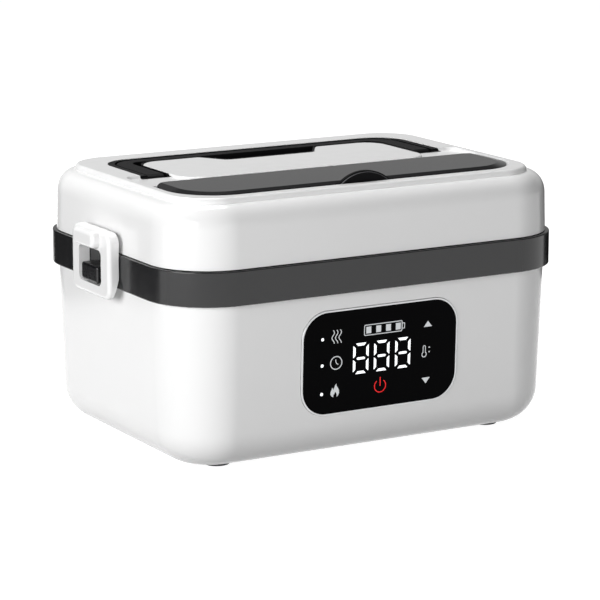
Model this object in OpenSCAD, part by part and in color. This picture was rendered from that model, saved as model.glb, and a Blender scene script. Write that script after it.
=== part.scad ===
// Electric lunch box: a heated, battery powered food carrier.
// Front is -Y, +X is to the right, +Z is up and z = 0 is the surface it stands on.
// Every shell follows the outline of the dark belt, so most profiles below are
// lists of [inset from the belt outline, height].

/* [Belt] */
// Length of the belt, the widest outline of the body
belt_w = 240; // [220:1:270]
// Depth of the belt, front to back
belt_d = 175; // [168:1:200]
// Radius of the belt's corners in plan
belt_corner_r = 36; // [33:0.5:44]
// Height of the belt's face
belt_h = 18; // [17:0.5:24]
// Height of the belt's lower edge above the ground
belt_bottom = 89; // [87:1:110]
// Thickness of the belt behind the shell's tongue
belt_wall = 6; // [5.6:0.1:6.5]

/* [Lower shell] */
// Step from the belt's face in to the lower shell
shell_inset = 3.1; // [2.8:0.1:3.4]
// Draft of the lower shell's walls in degrees
shell_draft = 2; // [1:0.25:2.5]
// Wall thickness of the lower shell
shell_wall = 2.4; // [1.8:0.1:2.8]
// Radius between the lower shell's walls and its underside
shell_bottom_r = 19.5; // [16:0.5:21]
// Thickness of the lower shell's floor
shell_floor = 4.4; // [3.8:0.1:5]
// Height of the rubber feet below the shell
foot_h = 1.6; // [1.2:0.1:2.5]
// Radius of a rubber foot
foot_r = 7; // [5:0.5:9]
// Distance between feet along the length
foot_pitch_x = 166; // [162:1:170]
// Distance between feet, front to back
foot_pitch_y = 114; // [112:1:118]

/* [Service plate] */
// Length of the plate in the underside
plate_w = 150; // [145:1:152]
// Depth of the plate in the underside
plate_d = 92; // [88:1:94]
// Thickness of the plate in the underside
plate_t = 2.4; // [2:0.1:2.8]
// Width of the ledge that carries the plate
plate_ledge = 9; // [8:0.5:10]

/* [Display] */
// Length of the display over its bezel
display_w = 95; // [85:1:105]
// Height of the display over its bezel
display_h = 56; // [50:1:58]
// Corner radius of the bezel
display_corner_r = 15; // [10:0.5:18]
// Width of the bezel's visible border
bezel_w = 1.2; // [0.8:0.1:2]
// Drop from the belt's lower edge to the middle of the display
display_drop = 36.8; // [35:0.2:38.5]

/* [Inner well] */
// Distance from the belt's outline to the wall of the heated well
well_inset = 14; // [13.5:0.25:15]
// Height of the well's underside above the ground
well_bottom = 50; // [48:0.5:54]
// Wall thickness of the heated well
well_wall = 1.2; // [0.8:0.1:1.4]
// Gap all round between the food tray and the well
tray_gap = 1; // [0.6:0.1:1.5]
// Wall thickness of the food tray
tray_wall = 0.8; // [0.6:0.1:1]
// Height of the ledge in the well that carries the food tray, below the belt's top
tray_ledge_drop = 6; // [5.8:0.1:6.5]

/* [Lid] */
// Step from the belt's face in to the lid's wall
lid_inset = 2.3; // [2:0.1:2.8]
// Draft of the lid's wall in degrees
lid_draft = 1.5; // [1:0.25:2.5]
// Wall thickness of the lid
lid_wall = 2.4; // [2:0.1:2.6]
// Height of the lid's rim above the belt's top
lid_h = 35.2; // [34.6:0.2:44]
// Horizontal reach of the lid's rounded shoulder
shoulder_reach = 9.95; // [9:0.25:11]
// Height of the lid's rounded shoulder
shoulder_h = 11.5; // [10:0.25:13]
// Height of the step between the shoulder and the rim
rim_step = 3; // [2.5:0.1:3.2]
// Depth of the front strip below the rim
strip_depth = 1.6; // [1.4:0.1:2]
// Gap between the lid's edge and the belt
lid_gap = 0.4; // [0.3:0.1:0.8]

/* [Carry handle] */
// Distance from the belt's back to the back of the handle's well
groove_margin = 27.5; // [25:0.5:31]
// Distance from the middle of the box to the front of the handle's well
groove_front = 4; // [2:0.5:6]
// Outer corner radius of the handle's well
groove_corner_r = 18; // [16:0.5:20]
// Length of the panel that the handle lies round
panel_w = 152; // [140:1:156]
// Width of the handle's well behind the panel
back_well_w = 12; // [11.5:0.5:14]
// Width of a handle arm, seen from above
handle_arm_w = 10; // [9:0.25:10.5]
// Height of the handle's section
handle_t = 9.3; // [8.5:0.1:9.4]
// Depth of the handle's well below the rim
groove_depth = 11; // [10.9:0.1:12]
// Radius of the handle's hinge pins
handle_pin_r = 1.3; // [1.1:0.05:1.4]

/* [Cutlery compartment] */
// Length of the compartment's cover
cover_w = 202; // [196:1:206]
// Distance from the belt's front to the cover's front edge
cover_margin = 20.5; // [19.5:0.25:22]
// Distance from the middle of the box to the cover's back edge
cover_back = 20; // [18:0.25:22]
// Corner radius at the cover's front
cover_corner_r = 26; // [20:0.5:28]
// Thickness of the cover
cover_t = 2.1; // [1.8:0.1:2.4]
// Radius of the cover's hinge barrel
barrel_r = 1.9; // [1.7:0.05:2]
// Radius of the cover's hinge rod
rod_r = 0.9; // [0.8:0.05:1]
// Width of the pull tab at its foot
tab_w = 33; // [26:1:40]
// Height of the pull tab
tab_h = 7; // [5:0.2:8]
// Depth of the cutlery tray below the rim
cutlery_depth = 25.6; // [20:0.2:26.5]

/* [Side latches] */
// Height of a latch frame
latch_h = 35; // [34:0.5:38]
// Width of a latch frame
latch_w = 44; // [40:1:50]
// Thickness of a latch frame
latch_t = 6.2; // [5.8:0.1:7]
// Corner radius of a latch frame
latch_corner_r = 5.5; // [5:0.25:7]
// Width of the window in a latch frame
window_w = 26; // [24:0.5:28]
// Height of the window in a latch frame
window_h = 18.9; // [18:0.1:20]
// Drop of a latch frame below the belt's lower edge
latch_drop = 5.5; // [5:0.25:6]
// Radius of a latch's hinge pin
latch_pin_r = 1.2; // [1:0.05:1.4]
// Largest swing of a latch in degrees
latch_swing = 16; // [10:1:16]

/* [Charging socket] */
// Length of the recess round the charging socket
socket_w = 22; // [20:0.5:26]
// Height of the recess round the charging socket
socket_h = 14; // [12:0.5:16]
// Height of the charging socket above the ground
socket_z = 30; // [28:0.5:36]
// Radius of the charging socket's bore
jack_r = 2.9; // [2.6:0.1:3.2]

/* [Hidden] */
$fn = 64;
ARC_STEPS = 10;
SMALL_STEPS = 4;
PLAY = 0.3;            // gap between pieces that part or turn past each other
SNUG = 0.1;            // gap between pieces that are fixed together
RUNNING = 0.05;        // radial clearance of a pin that turns in its hole
CUT = 1;               // how far a cutting shape runs past what it cuts
ARM_ROOM = 7;          // width of the handle's well beside an arm

WHITE = "#f3f3f1";
BELT_DARK = "#4a4b4d";
COVER_GREY = "#65666a";
BLACK = "#1c1c1e";
STEEL = "#c3c6c9";
SILICONE = "#d9dcdc";

belt_top = belt_bottom + belt_h;
lid_z = belt_top + lid_gap;
rim_z = belt_top + lid_h;
strip_z = rim_z - strip_depth;
shoulder_top = rim_z - rim_step;
shoulder_bottom = shoulder_top - shoulder_h;
lid_inset_top = lid_inset + (shoulder_bottom - belt_top) * tan(lid_draft);
crease_inset = lid_inset_top + shoulder_reach;
rim_inset = crease_inset + 2;
plate_under = strip_z - lid_wall;          // underside of the lid's top
shell_z = foot_h;
floor_top = shell_z + shell_floor;
arc_z = shell_z + shell_bottom_r;
inset_at_arc = shell_inset + (belt_bottom - arc_z) * tan(shell_draft);
tongue_inset = belt_wall + 0.2;            // the shell's tongue lies just inside the belt
tongue_top = belt_top - 3.5;
flange_seat = tongue_top + 0.7;            // the well's flange lies on the belt here
flange_t = 1.4;
flange_top = flange_seat + flange_t;
ledge_z = belt_top - tray_ledge_drop;
liner_z = belt_top + 1;
liner_t = 2.2;
liner_inset = lid_inset + lid_wall + 0.7;
seal_inset = 7;
seal_w = 3.2;
seal_groove = 1.2;
groove_w = panel_w + 2 * (handle_arm_w + ARM_ROOM);
groove_back = belt_d / 2 - groove_margin;
panel_back = groove_back - back_well_w;
cover_front = belt_d / 2 - cover_margin;

// ---------- Profiles and plans ----------

// Points of an elliptical arc, from angle a to angle b
function arc_points(cx, cy, rx, ry, a, b, steps = ARC_STEPS) =
    [for (i = [0:steps]) let (t = a + (b - a) * i / steps) [cx + rx * cos(t), cy + ry * sin(t)]];

// A straight wall from z0 to z1 with both edges rounded by r, as [inset, height]
function rounded_wall(inset, z0, z1, r_low, r_high) = concat(
    arc_points(inset + r_low, z0 + r_low, r_low, r_low, 270, 180, SMALL_STEPS),
    arc_points(inset + r_high, z1 - r_high, r_high, r_high, 180, 90, SMALL_STEPS));

// Half section of a soft box, from its corner's centre line outwards
function edge_section(r, profile) = concat(
    [[0, profile[0][1]]],
    [for (p = profile) [r - p[0], p[1]]],
    [[0, profile[len(profile) - 1][1]]]);

// Rounded rectangle in plan
module plan(w, d, r) {
    square([w - 2 * r, d], center = true);
    square([w, d - 2 * r], center = true);
    for (x = [-1, 1], y = [-1, 1])
        translate([x * (w / 2 - r), y * (d / 2 - r)]) circle(r = r);
}

// Box with corner radius r in plan whose wall follows a profile of [inset, height]
module soft_box(w, d, r, profile) {
    z0 = profile[0][1];
    z1 = profile[len(profile) - 1][1];
    section = edge_section(r, profile);
    translate([-(w / 2 - r), -(d / 2 - r), z0]) cube([w - 2 * r, d - 2 * r, z1 - z0]);
    for (side = [0, 180]) {
        rotate(side) translate([w / 2 - r, 0, 0])
            rotate([90, 0, 0]) linear_extrude(height = d - 2 * r, center = true) polygon(section);
        rotate(side + 90) translate([d / 2 - r, 0, 0])
            rotate([90, 0, 0]) linear_extrude(height = w - 2 * r, center = true) polygon(section);
    }
    for (corner = [[1, 1, 0], [-1, 1, 90], [-1, -1, 180], [1, -1, 270]])
        translate([corner[0] * (w / 2 - r), corner[1] * (d / 2 - r), 0])
            rotate(corner[2]) rotate_extrude(angle = 90) polygon(section);
}

// Soft box on the belt's outline
module body_form(profile) {
    soft_box(belt_w, belt_d, belt_corner_r, profile);
}

// Upright prism of a plan, between two heights
module slab(z0, z1) {
    translate([0, 0, z0]) linear_extrude(height = z1 - z0) children();
}

// Places children on the front wall: x to the right, y up, z outwards
module on_front() {
    translate([0, -(belt_d / 2 - shell_inset), belt_bottom])
        rotate([shell_draft + 90, 0, 0]) children();
}

// Places children on the rear wall: y up, z outwards
module on_rear() {
    rotate(180) on_front() children();
}

module both_sides() {
    children();
    mirror([1, 0, 0]) children();
}

module four_corners(pitch_x, pitch_y) {
    for (x = [-1, 1], y = [-1, 1]) translate([x * pitch_x / 2, y * pitch_y / 2, 0]) children();
}

// ---------- Base ----------

BOARD_POST_X = 164;
BOARD_POST_Y = 58;
BOARD_Z = 31;
POST_R = 3.5;
POST_HOLE_R = 1.2;
FOOT_SEAT = 1;
SCREW_R = 1.2;
SCREW_HEAD_R = 2.6;
SCREW_HEAD_H = 1.4;
PLATE_SCREW_Y = 50;
PLATE_CORNER_R = 10;
plate_screw_x = plate_w - plate_ledge;

module outer_shell() {
    outer = concat(
        [for (a = [0:9:90]) [inset_at_arc + shell_bottom_r * (1 - sin(a)), arc_z - shell_bottom_r * cos(a)]],
        [[shell_inset, belt_bottom], [tongue_inset, belt_bottom], [tongue_inset, tongue_top]]);
    inner_r = shell_bottom_r - shell_wall;
    floor_angle = acos((arc_z - floor_top) / inner_r);
    inner = concat(
        [for (i = [0:8]) let (a = floor_angle + (90 - floor_angle) * i / 8)
            [inset_at_arc + shell_bottom_r - inner_r * sin(a), arc_z - inner_r * cos(a)]],
        [[shell_inset + shell_wall, belt_bottom - 5], [tongue_inset + shell_wall, belt_bottom - 2],
         [tongue_inset + shell_wall, tongue_top + CUT]]);
    color(WHITE) {
        difference() {
            body_form(outer);
            body_form(inner);
            slab(shell_z - CUT, shell_z + plate_t)
                plan(plate_w + 2 * SNUG, plate_d + 2 * SNUG, PLATE_CORNER_R + SNUG);
            slab(shell_z, floor_top + CUT)
                plan(plate_w - 2 * plate_ledge, plate_d - 2 * plate_ledge, 6);
            four_corners(plate_screw_x, PLATE_SCREW_Y)
                translate([0, 0, shell_z]) cylinder(r = SCREW_R, h = shell_floor + CUT);
            four_corners(foot_pitch_x, foot_pitch_y)
                translate([0, 0, shell_z - CUT]) cylinder(r = foot_r + SNUG, h = CUT + FOOT_SEAT);
            on_front() translate([0, -display_drop, 0])
                slab(-3 * shell_wall, CUT)
                    plan(display_w + 2 * SNUG, display_h + 2 * SNUG, display_corner_r + SNUG);
            on_rear() translate([0, socket_z - belt_bottom, 0])
                slab(-3 * shell_wall, CUT) plan(socket_w + 2 * SNUG, socket_h + 2 * SNUG, 5 + SNUG);
        }
        four_corners(BOARD_POST_X, BOARD_POST_Y) difference() {
            translate([0, 0, floor_top - 0.2]) cylinder(r = POST_R, h = BOARD_Z - floor_top + 0.2);
            translate([0, 0, BOARD_Z - 9]) cylinder(r = POST_HOLE_R, h = 9 + CUT);
        }
    }
}

module belt_ring() {
    edge = 0.5;
    color(BELT_DARK) difference() {
        body_form(rounded_wall(0, belt_bottom, belt_top, edge, edge));
        body_form([[belt_wall, belt_bottom - CUT], [belt_wall, tongue_top],
                   [belt_wall + 2.8, tongue_top], [belt_wall + 2.8, flange_seat],
                   [belt_wall - 0.4, flange_seat], [belt_wall - 0.4, belt_top + CUT]]);
    }
}

module base_plate() {
    color(WHITE) difference() {
        slab(shell_z, shell_z + plate_t) plan(plate_w, plate_d, PLATE_CORNER_R);
        four_corners(plate_screw_x, PLATE_SCREW_Y) {
            translate([0, 0, shell_z - CUT]) cylinder(r = SCREW_R + SNUG, h = plate_t + 2 * CUT);
            translate([0, 0, shell_z - CUT]) cylinder(r = SCREW_HEAD_R + SNUG, h = CUT + SCREW_HEAD_H);
        }
    }
}

// Pan head screw standing head down, its head's top at z = 0 and its shank above
module screw(length) {
    difference() {
        cylinder(r = SCREW_HEAD_R, h = SCREW_HEAD_H);
        for (turn = [0, 90]) rotate(turn) translate([-1.5, -0.3, -0.1]) cube([3, 0.6, 0.8]);
    }
    cylinder(r = SCREW_R - 0.02, h = length);
}

module base_screws() {
    color(STEEL) four_corners(plate_screw_x, PLATE_SCREW_Y)
        translate([0, 0, shell_z]) screw(shell_floor - 0.2);
}

module rubber_feet() {
    color("#2a2a2c") four_corners(foot_pitch_x, foot_pitch_y) {
        translate([0, 0, 0.6]) cylinder(r = foot_r, h = foot_h + FOOT_SEAT - 0.6);
        cylinder(r1 = foot_r - 0.6, r2 = foot_r, h = 0.6);
    }
}

// ---------- Display on the front wall ----------

BEZEL_PROUD = 0.35;
BOARD_FRONT = -3.8;

module display_bezel() {
    color("#c9ccce") on_front() translate([0, -display_drop, 0]) difference() {
        slab(BOARD_FRONT, BEZEL_PROUD) plan(display_w, display_h, display_corner_r);
        slab(BOARD_FRONT - CUT, BEZEL_PROUD + CUT)
            plan(display_w - 2 * bezel_w, display_h - 2 * bezel_w, display_corner_r - bezel_w);
    }
}

module display_glass() {
    color(BLACK) on_front() translate([0, -display_drop, 0])
        slab(-1.8, BEZEL_PROUD - 0.15)
            plan(display_w - 2 * bezel_w - 2 * SNUG, display_h - 2 * bezel_w - 2 * SNUG,
                 display_corner_r - bezel_w - SNUG);
}

module display_board() {
    margin = 6;
    color("#1f5c3a") on_front() translate([0, -display_drop, 0]) {
        slab(BOARD_FRONT - 1.6, BOARD_FRONT) plan(display_w + 3, display_h + 3, 6);
        slab(BOARD_FRONT, -1.85) plan(display_w - 2 * margin, display_h - 2 * margin, 4);
        for (x = [-30, 0, 30]) translate([x - 5, display_h / 2 - 18, BOARD_FRONT - 3])
            cube([10, 8, 1.6]);
    }
}

// ---------- Heated well and what lies under it ----------

WELL_FLOOR_R = 9;
HEATER_W = 156;
HEATER_D = 96;
HEATER_T = 3;
PAD_T = 3.4;
CUTOUT_R = 6;
CUTOUT_X = 44;

module inner_well() {
    wall_draft = tan(1.5);
    low_inset = well_inset + (ledge_z - well_bottom) * wall_draft;
    outer = concat(
        arc_points(low_inset + WELL_FLOOR_R, well_bottom + WELL_FLOOR_R,
                   WELL_FLOOR_R, WELL_FLOOR_R, 270, 180, 6),
        [[well_inset, ledge_z - well_wall], [well_inset - 3, ledge_z - well_wall],
         [well_inset - 3, flange_seat], [belt_wall, flange_seat], [belt_wall, flange_top]]);
    r_in = WELL_FLOOR_R - well_wall;
    inner = concat(
        arc_points(low_inset + WELL_FLOOR_R, well_bottom + WELL_FLOOR_R, r_in, r_in, 270, 180, 6),
        [[well_inset + well_wall, ledge_z], [well_inset - 3 + well_wall, ledge_z],
         [well_inset - 3 + well_wall, flange_top + CUT]]);
    color(STEEL) difference() {
        body_form(outer);
        body_form(inner);
    }
}

module heater_plate() {
    color("#b8bbbe") {
        slab(well_bottom - HEATER_T, well_bottom) plan(HEATER_W, HEATER_D, 14);
    }
}

module thermal_cutouts() {
    color("#d8d4c8") both_sides()
        translate([CUTOUT_X, 0, well_bottom - HEATER_T - PAD_T - 1])
            cylinder(r = CUTOUT_R, h = PAD_T + 1);
}

module insulation_pad() {
    color("#e8e2cf") difference() {
        slab(well_bottom - HEATER_T - PAD_T, well_bottom - HEATER_T) plan(HEATER_W, HEATER_D, 14);
        both_sides() translate([CUTOUT_X, 0, well_bottom - HEATER_T - PAD_T - CUT])
            cylinder(r = CUTOUT_R + 0.5, h = PAD_T + 2 * CUT);
    }
}

module control_board() {
    top = BOARD_Z + 1.6;
    color("#1f5c3a") difference() {
        union() {
            slab(BOARD_Z, top) plan(BOARD_POST_X + 12, BOARD_POST_Y + 14, 4);
            translate([-50, 8, top - 0.2]) cylinder(r = 8, h = 7);
            translate([-28, 14, top - 0.2]) cylinder(r = 4, h = 8);
            translate([-18, 14, top - 0.2]) cylinder(r = 4, h = 8);
            translate([10, -24, top - 0.2]) cube([26, 18, 3]);
            translate([46, 6, top - 0.2]) cube([12, 20, 8]);
            translate([-60, -26, top - 0.2]) cube([20, 8, 6]);
        }
        four_corners(BOARD_POST_X, BOARD_POST_Y)
            translate([0, 0, BOARD_Z - CUT]) cylinder(r = POST_HOLE_R + 0.3, h = 1.6 + 2 * CUT);
    }
}

CELL_R = 9.2;
CELL_L = 65;
CELL_PITCH = 20.5;
CELL_ROWS = [-1, 0, 1];
cell_z = floor_top + 1.8 + CELL_R;

module cells(r, l) {
    for (side = [-1, 1], row = CELL_ROWS)
        translate([side * (CELL_L / 2 + 1), row * CELL_PITCH, cell_z])
            rotate([0, 90, 0]) cylinder(r = r, h = l, center = true);
}

module battery_cradle() {
    color("#2f3236") difference() {
        slab(floor_top, cell_z - 3) plan(2 * CELL_L + 10, 3 * CELL_PITCH + 6, 3);
        cells(CELL_R + SNUG, CELL_L + 2 * SNUG);
    }
}

module battery_cells() {
    color("#3f77b5") {
        cells(CELL_R, CELL_L);
        for (side = [-1, 1], row = CELL_ROWS)
            translate([side * (CELL_L + 1), row * CELL_PITCH, cell_z])
                rotate([0, side * 90, 0]) cylinder(r = 2.8, h = 1);
    }
}

module battery_clamp() {
    color("#2f3236") both_sides() difference() {
        translate([CELL_L / 2 - 6, -(1.5 * CELL_PITCH + 1), cell_z - 3])
            cube([14, 3 * CELL_PITCH + 2, CELL_R + 5]);
        cells(CELL_R + SNUG, CELL_L + 2 * SNUG);
    }
}

// ---------- Charging socket on the rear wall ----------

SOCKET_RECESS = 5;
JACK_DEPTH = 8;

module charge_socket() {
    color(BLACK) on_rear() translate([0, socket_z - belt_bottom, 0]) difference() {
        slab(-(SOCKET_RECESS + JACK_DEPTH + 1.5), 0.2) plan(socket_w, socket_h, 5);
        slab(-SOCKET_RECESS, CUT) plan(socket_w - 3, socket_h - 3, 3.5);
        translate([0, 0, -(SOCKET_RECESS + JACK_DEPTH)]) cylinder(r = jack_r, h = JACK_DEPTH + CUT);
    }
}

module socket_contact() {
    color("#d8b45a") on_rear() translate([0, socket_z - belt_bottom, -(SOCKET_RECESS + JACK_DEPTH)])
        cylinder(r = 1.05, h = JACK_DEPTH - 1.5);
}

// ---------- Food tray and its own lid ----------

TRAY_FLOOR_R = 8;
TRAY_LID_T = 1.6;
RAISED_W = 70;           // raised middle of the tray's lid
RAISED_D = 40;
RAISED_R = 12;
RAISED_H = 1.2;
VENT_R = 6;
tray_inset = well_inset + well_wall + tray_gap;
tray_rim_z = ledge_z + PLAY + tray_wall;
tray_bottom = well_bottom + well_wall + 2.8;
tray_lid_z = tray_rim_z + PLAY;
skirt_inset = tray_inset + tray_wall + 2.1;

module food_tray() {
    low_inset = tray_inset + (tray_rim_z - tray_bottom) * tan(2);
    r_in = TRAY_FLOOR_R - tray_wall;
    color(STEEL) difference() {
        body_form(concat(
            arc_points(low_inset + TRAY_FLOOR_R, tray_bottom + TRAY_FLOOR_R,
                       TRAY_FLOOR_R, TRAY_FLOOR_R, 270, 180, 6),
            [[tray_inset, tray_rim_z - tray_wall], [well_inset - 1.3, tray_rim_z - tray_wall],
             [well_inset - 1.3, tray_rim_z]]));
        body_form(concat(
            arc_points(low_inset + TRAY_FLOOR_R, tray_bottom + TRAY_FLOOR_R, r_in, r_in, 270, 180, 6),
            [[tray_inset + tray_wall, tray_rim_z - tray_wall], [tray_inset + tray_wall, tray_rim_z + CUT]]));
    }
}

module tray_lid() {
    color("#e4e8ea") difference() {
        union() {
            body_form(rounded_wall(well_inset - 1.1, tray_lid_z, tray_lid_z + TRAY_LID_T, 0.3, 0.6));
            body_form([[skirt_inset, tray_lid_z - 4], [skirt_inset, tray_lid_z + 0.2]]);
            slab(tray_lid_z + 0.5, tray_lid_z + TRAY_LID_T + RAISED_H) plan(RAISED_W, RAISED_D, RAISED_R);
        }
        body_form([[skirt_inset + 1.2, tray_lid_z - 4 - CUT], [skirt_inset + 1.2, tray_lid_z]]);
        translate([0, 0, tray_lid_z - CUT]) cylinder(r = VENT_R, h = TRAY_LID_T + 2 * CUT + RAISED_H);
    }
}

module tray_seal() {
    color(SILICONE) difference() {
        body_form(rounded_wall(skirt_inset - 1.6, tray_lid_z - 3.8, tray_lid_z - 0.05, 0.5, 0.2));
        body_form([[skirt_inset - 0.05, tray_lid_z - 4 - CUT], [skirt_inset - 0.05, tray_lid_z + CUT]]);
    }
}

module vent_plug() {
    top = tray_lid_z + TRAY_LID_T + RAISED_H;
    color("#8e9496") {
        translate([0, 0, top]) cylinder(r = VENT_R + 2, h = 1);
        translate([0, 0, tray_lid_z - 0.9]) cylinder(r = VENT_R - 0.05, h = top - tray_lid_z + 1);
        translate([0, 0, tray_lid_z - 1.9]) cylinder(r = VENT_R + 0.8, h = 1.6);
    }
}

// ---------- Lid ----------

OPENING_SIDE = 8.3;      // ledge under each end of the cover
OPENING_FRONT = 5;       // ledge under the cover's front
TROUGH_FLOOR = 1.6;
BOSS_X = 210;
BOSS_FRONT = -35;
BOSS_BACK = 44;
BOSS_R = 3.6;
LID_SCREW_L = 11.2;
LUG_X = 60;
LUG_W = 5;
LINER_WALL = 0.8;
WELL_RIM = 4.2;          // flat rim of the well's liner at each end
WELL_RIM_BACK = 1.5;     // the same at the back
PANEL_R = 13;
NOTCH_MOUTH = 35.5;      // half widths and depth of the finger notch
NOTCH_FOOT = 29;
NOTCH_DEEP = 15.5;
panel_z = rim_z - 0.3;
panel_front = -12;
opening_w = cover_w + 2 * PLAY - 2 * OPENING_SIDE;
cover_under = strip_z + PLAY;
cover_top = cover_under + cover_t;
rod_y = -(cover_back + barrel_r + 0.1);
rod_z = cover_under - barrel_r + 0.2;
// reach of the cover's back edge as it turns about the rod
cover_heel = sqrt(pow(barrel_r + 0.1, 2) + pow(cover_top - rod_z, 2));
trough_back = rod_y + cover_heel + PLAY + 0.1;
trough_front = rod_y - barrel_r - 1.6;
trough_z = rod_z - barrel_r - 1.2;
trough_w = cover_w + 2 * PLAY;
TROUGH_END = 2.2;        // wall that closes each end of the trough and holds the rod
ROD_SEAT = 1.6;          // depth of the rod's hole in that wall
opening_front = -(cover_front - OPENING_FRONT);

// Outer edge of the handle's well: drawn in by e at the front, by side at the ends and by back
module groove_edge(e, side, back) {
    x = groove_w / 2 - side;
    y = groove_back - back;
    r = groove_corner_r - back;
    translate([-x, groove_front + e]) square([2 * x, y - groove_front - e - r]);
    translate([-(x - r), groove_front + e]) square([2 * (x - r), y - groove_front - e]);
    for (end = [-1, 1]) translate([end * (x - r), y - r]) circle(r = r);
}

// The panel grown by e, less its finger notch
module panel_plan(e) {
    front = panel_front - e;
    back = panel_back + e;
    difference() {
        translate([0, (front + back) / 2]) plan(panel_w + 2 * e, back - front, PANEL_R + e);
        finger_notch(e);
    }
}

// Plan of the handle's well, drawn in by e: a U round the panel, with a finger notch
module groove_plan(e) {
    difference() {
        groove_edge(e, e, e);
        panel_plan(e);
    }
}

// Plan of the channel that the handle lies in, inside the well's flat rim
module channel_plan() {
    e = SNUG + LINER_WALL;
    difference() {
        groove_edge(e, WELL_RIM, WELL_RIM_BACK);
        panel_plan(e);
    }
}

// Trapezoid notch in the panel's back edge, for fingers under the handle
module finger_notch(e) {
    foot = NOTCH_FOOT - e;
    deep = panel_back - NOTCH_DEEP + e;
    lip = NOTCH_MOUTH + 3;
    r = 4;
    polygon(concat(
        [[-lip, panel_back + e + 0.01]],
        arc_points(-lip, panel_back - 3, 3 + e, 3 + e, 90, 20, SMALL_STEPS),
        arc_points(-foot + r, deep + r, r, r, 200, 270, SMALL_STEPS),
        arc_points(foot - r, deep + r, r, r, 270, 340, SMALL_STEPS),
        arc_points(lip, panel_back - 3, 3 + e, 3 + e, 160, 90, SMALL_STEPS),
        [[lip, panel_back + e + 0.01]]));
}

module lid_outer() {
    body_form(concat(
        [[lid_inset, lid_z]],
        arc_points(crease_inset, shoulder_bottom, shoulder_reach, shoulder_h, 180, 90),
        [[crease_inset, shoulder_top + 0.2]],
        arc_points(rim_inset, shoulder_top + 0.2, 2, rim_step - 0.2, 180, 90, SMALL_STEPS)));
}

module lid_cavity() {
    top_reach = shoulder_reach - 0.5;
    low = plate_under - 9;
    body_form(concat(
        [[lid_inset + lid_wall, lid_z - CUT]],
        arc_points(lid_inset_top + lid_wall + top_reach, low, top_reach, 9, 180, 90, 6)));
}

module strip_pocket() {
    w = cover_w + 1.6;
    back = groove_front + 3;
    front = -(cover_front + 0.7);
    lip = [[0.5, strip_z], [0, strip_z + 0.5], [-0.5, rim_z - 0.2], [-1, rim_z + 2 * CUT]];
    translate([0, (front + back) / 2, 0]) soft_box(w, back - front, cover_corner_r + 0.8, lip);
    translate([0, back - 20, 0]) soft_box(w, 40, 4, lip);
}

module lid_shell() {
    color(WHITE) difference() {
        union() {
            difference() {
                lid_outer();
                lid_cavity();
                strip_pocket();
                slab(strip_z, rim_z + CUT) groove_plan(0);
            }
            // panel that the handle lies round
            translate([0, (panel_front + panel_back) / 2, 0])
                soft_box(panel_w, panel_back - panel_front, PANEL_R,
                         rounded_wall(0, plate_under + 0.2, panel_z, 0.01, 1.2));
            // trough for the cover's hinge
            translate([-(trough_w / 2 + TROUGH_END), trough_front, trough_z - TROUGH_FLOOR])
                cube([trough_w + 2 * TROUGH_END, trough_back - trough_front + 1.6,
                      plate_under - trough_z + TROUGH_FLOOR + 0.2]);
            both_sides() for (y = [BOSS_FRONT, BOSS_BACK])
                translate([BOSS_X / 2, y, liner_z + liner_t])
                    cylinder(r = BOSS_R, h = plate_under - liner_z - liner_t + 0.2);
        }
        slab(plate_under - CUT, rim_z + CUT) groove_plan(0);
        difference() {
            union() {
                translate([0, (opening_front + trough_back) / 2, 0]) slab(trough_z, rim_z + CUT)
                    plan(opening_w, trough_back - opening_front, 3);
                translate([0, (trough_front + 1 + trough_back) / 2, 0]) slab(trough_z, rim_z + CUT)
                    square([trough_w, trough_back - trough_front - 1], center = true);
            }
            hinge_lugs();
        }
        translate([0, rod_y, rod_z]) rotate([0, 90, 0])
            cylinder(r = rod_r + 0.02, h = trough_w + 2 * ROD_SEAT, center = true);
        both_sides() for (y = [BOSS_FRONT, BOSS_BACK])
            translate([BOSS_X / 2, y, liner_z]) cylinder(r = SCREW_R, h = LID_SCREW_L + 3);
    }
}

module hinge_lugs() {
    both_sides() translate([LUG_X - LUG_W / 2, rod_y, rod_z]) {
        rotate([0, 90, 0]) cylinder(r = rod_r + 0.4, h = LUG_W);
        translate([0, -(rod_r + 0.4), trough_z - rod_z - CUT])
            cube([LUG_W, 2 * (rod_r + 0.4), rod_z - trough_z + CUT]);
    }
}

module lid_liner() {
    color(WHITE) difference() {
        body_form(rounded_wall(liner_inset, liner_z, liner_z + liner_t, 0.5, 0.5));
        difference() {
            body_form([[seal_inset, liner_z - CUT], [seal_inset, liner_z + seal_groove]]);
            body_form([[seal_inset + seal_w, liner_z - 2 * CUT],
                       [seal_inset + seal_w, liner_z + seal_groove + CUT]]);
        }
        both_sides() for (y = [BOSS_FRONT, BOSS_BACK]) translate([BOSS_X / 2, y, liner_z - CUT]) {
            cylinder(r = SCREW_R + SNUG, h = liner_t + 2 * CUT);
            cylinder(r = SCREW_HEAD_R + SNUG, h = CUT + SCREW_HEAD_H);
        }
    }
}

module lid_seal() {
    low = flange_top + PLAY;
    color(SILICONE) difference() {
        body_form(rounded_wall(seal_inset + 0.05, low, liner_z + seal_groove - 0.05, 0.6, 0.2));
        body_form([[seal_inset + seal_w - 0.05, low - CUT],
                   [seal_inset + seal_w - 0.05, liner_z + seal_groove + CUT]]);
    }
}

module lid_screws() {
    color(STEEL) both_sides() for (y = [BOSS_FRONT, BOSS_BACK])
        translate([BOSS_X / 2, y, liner_z]) screw(LID_SCREW_L);
}

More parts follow.
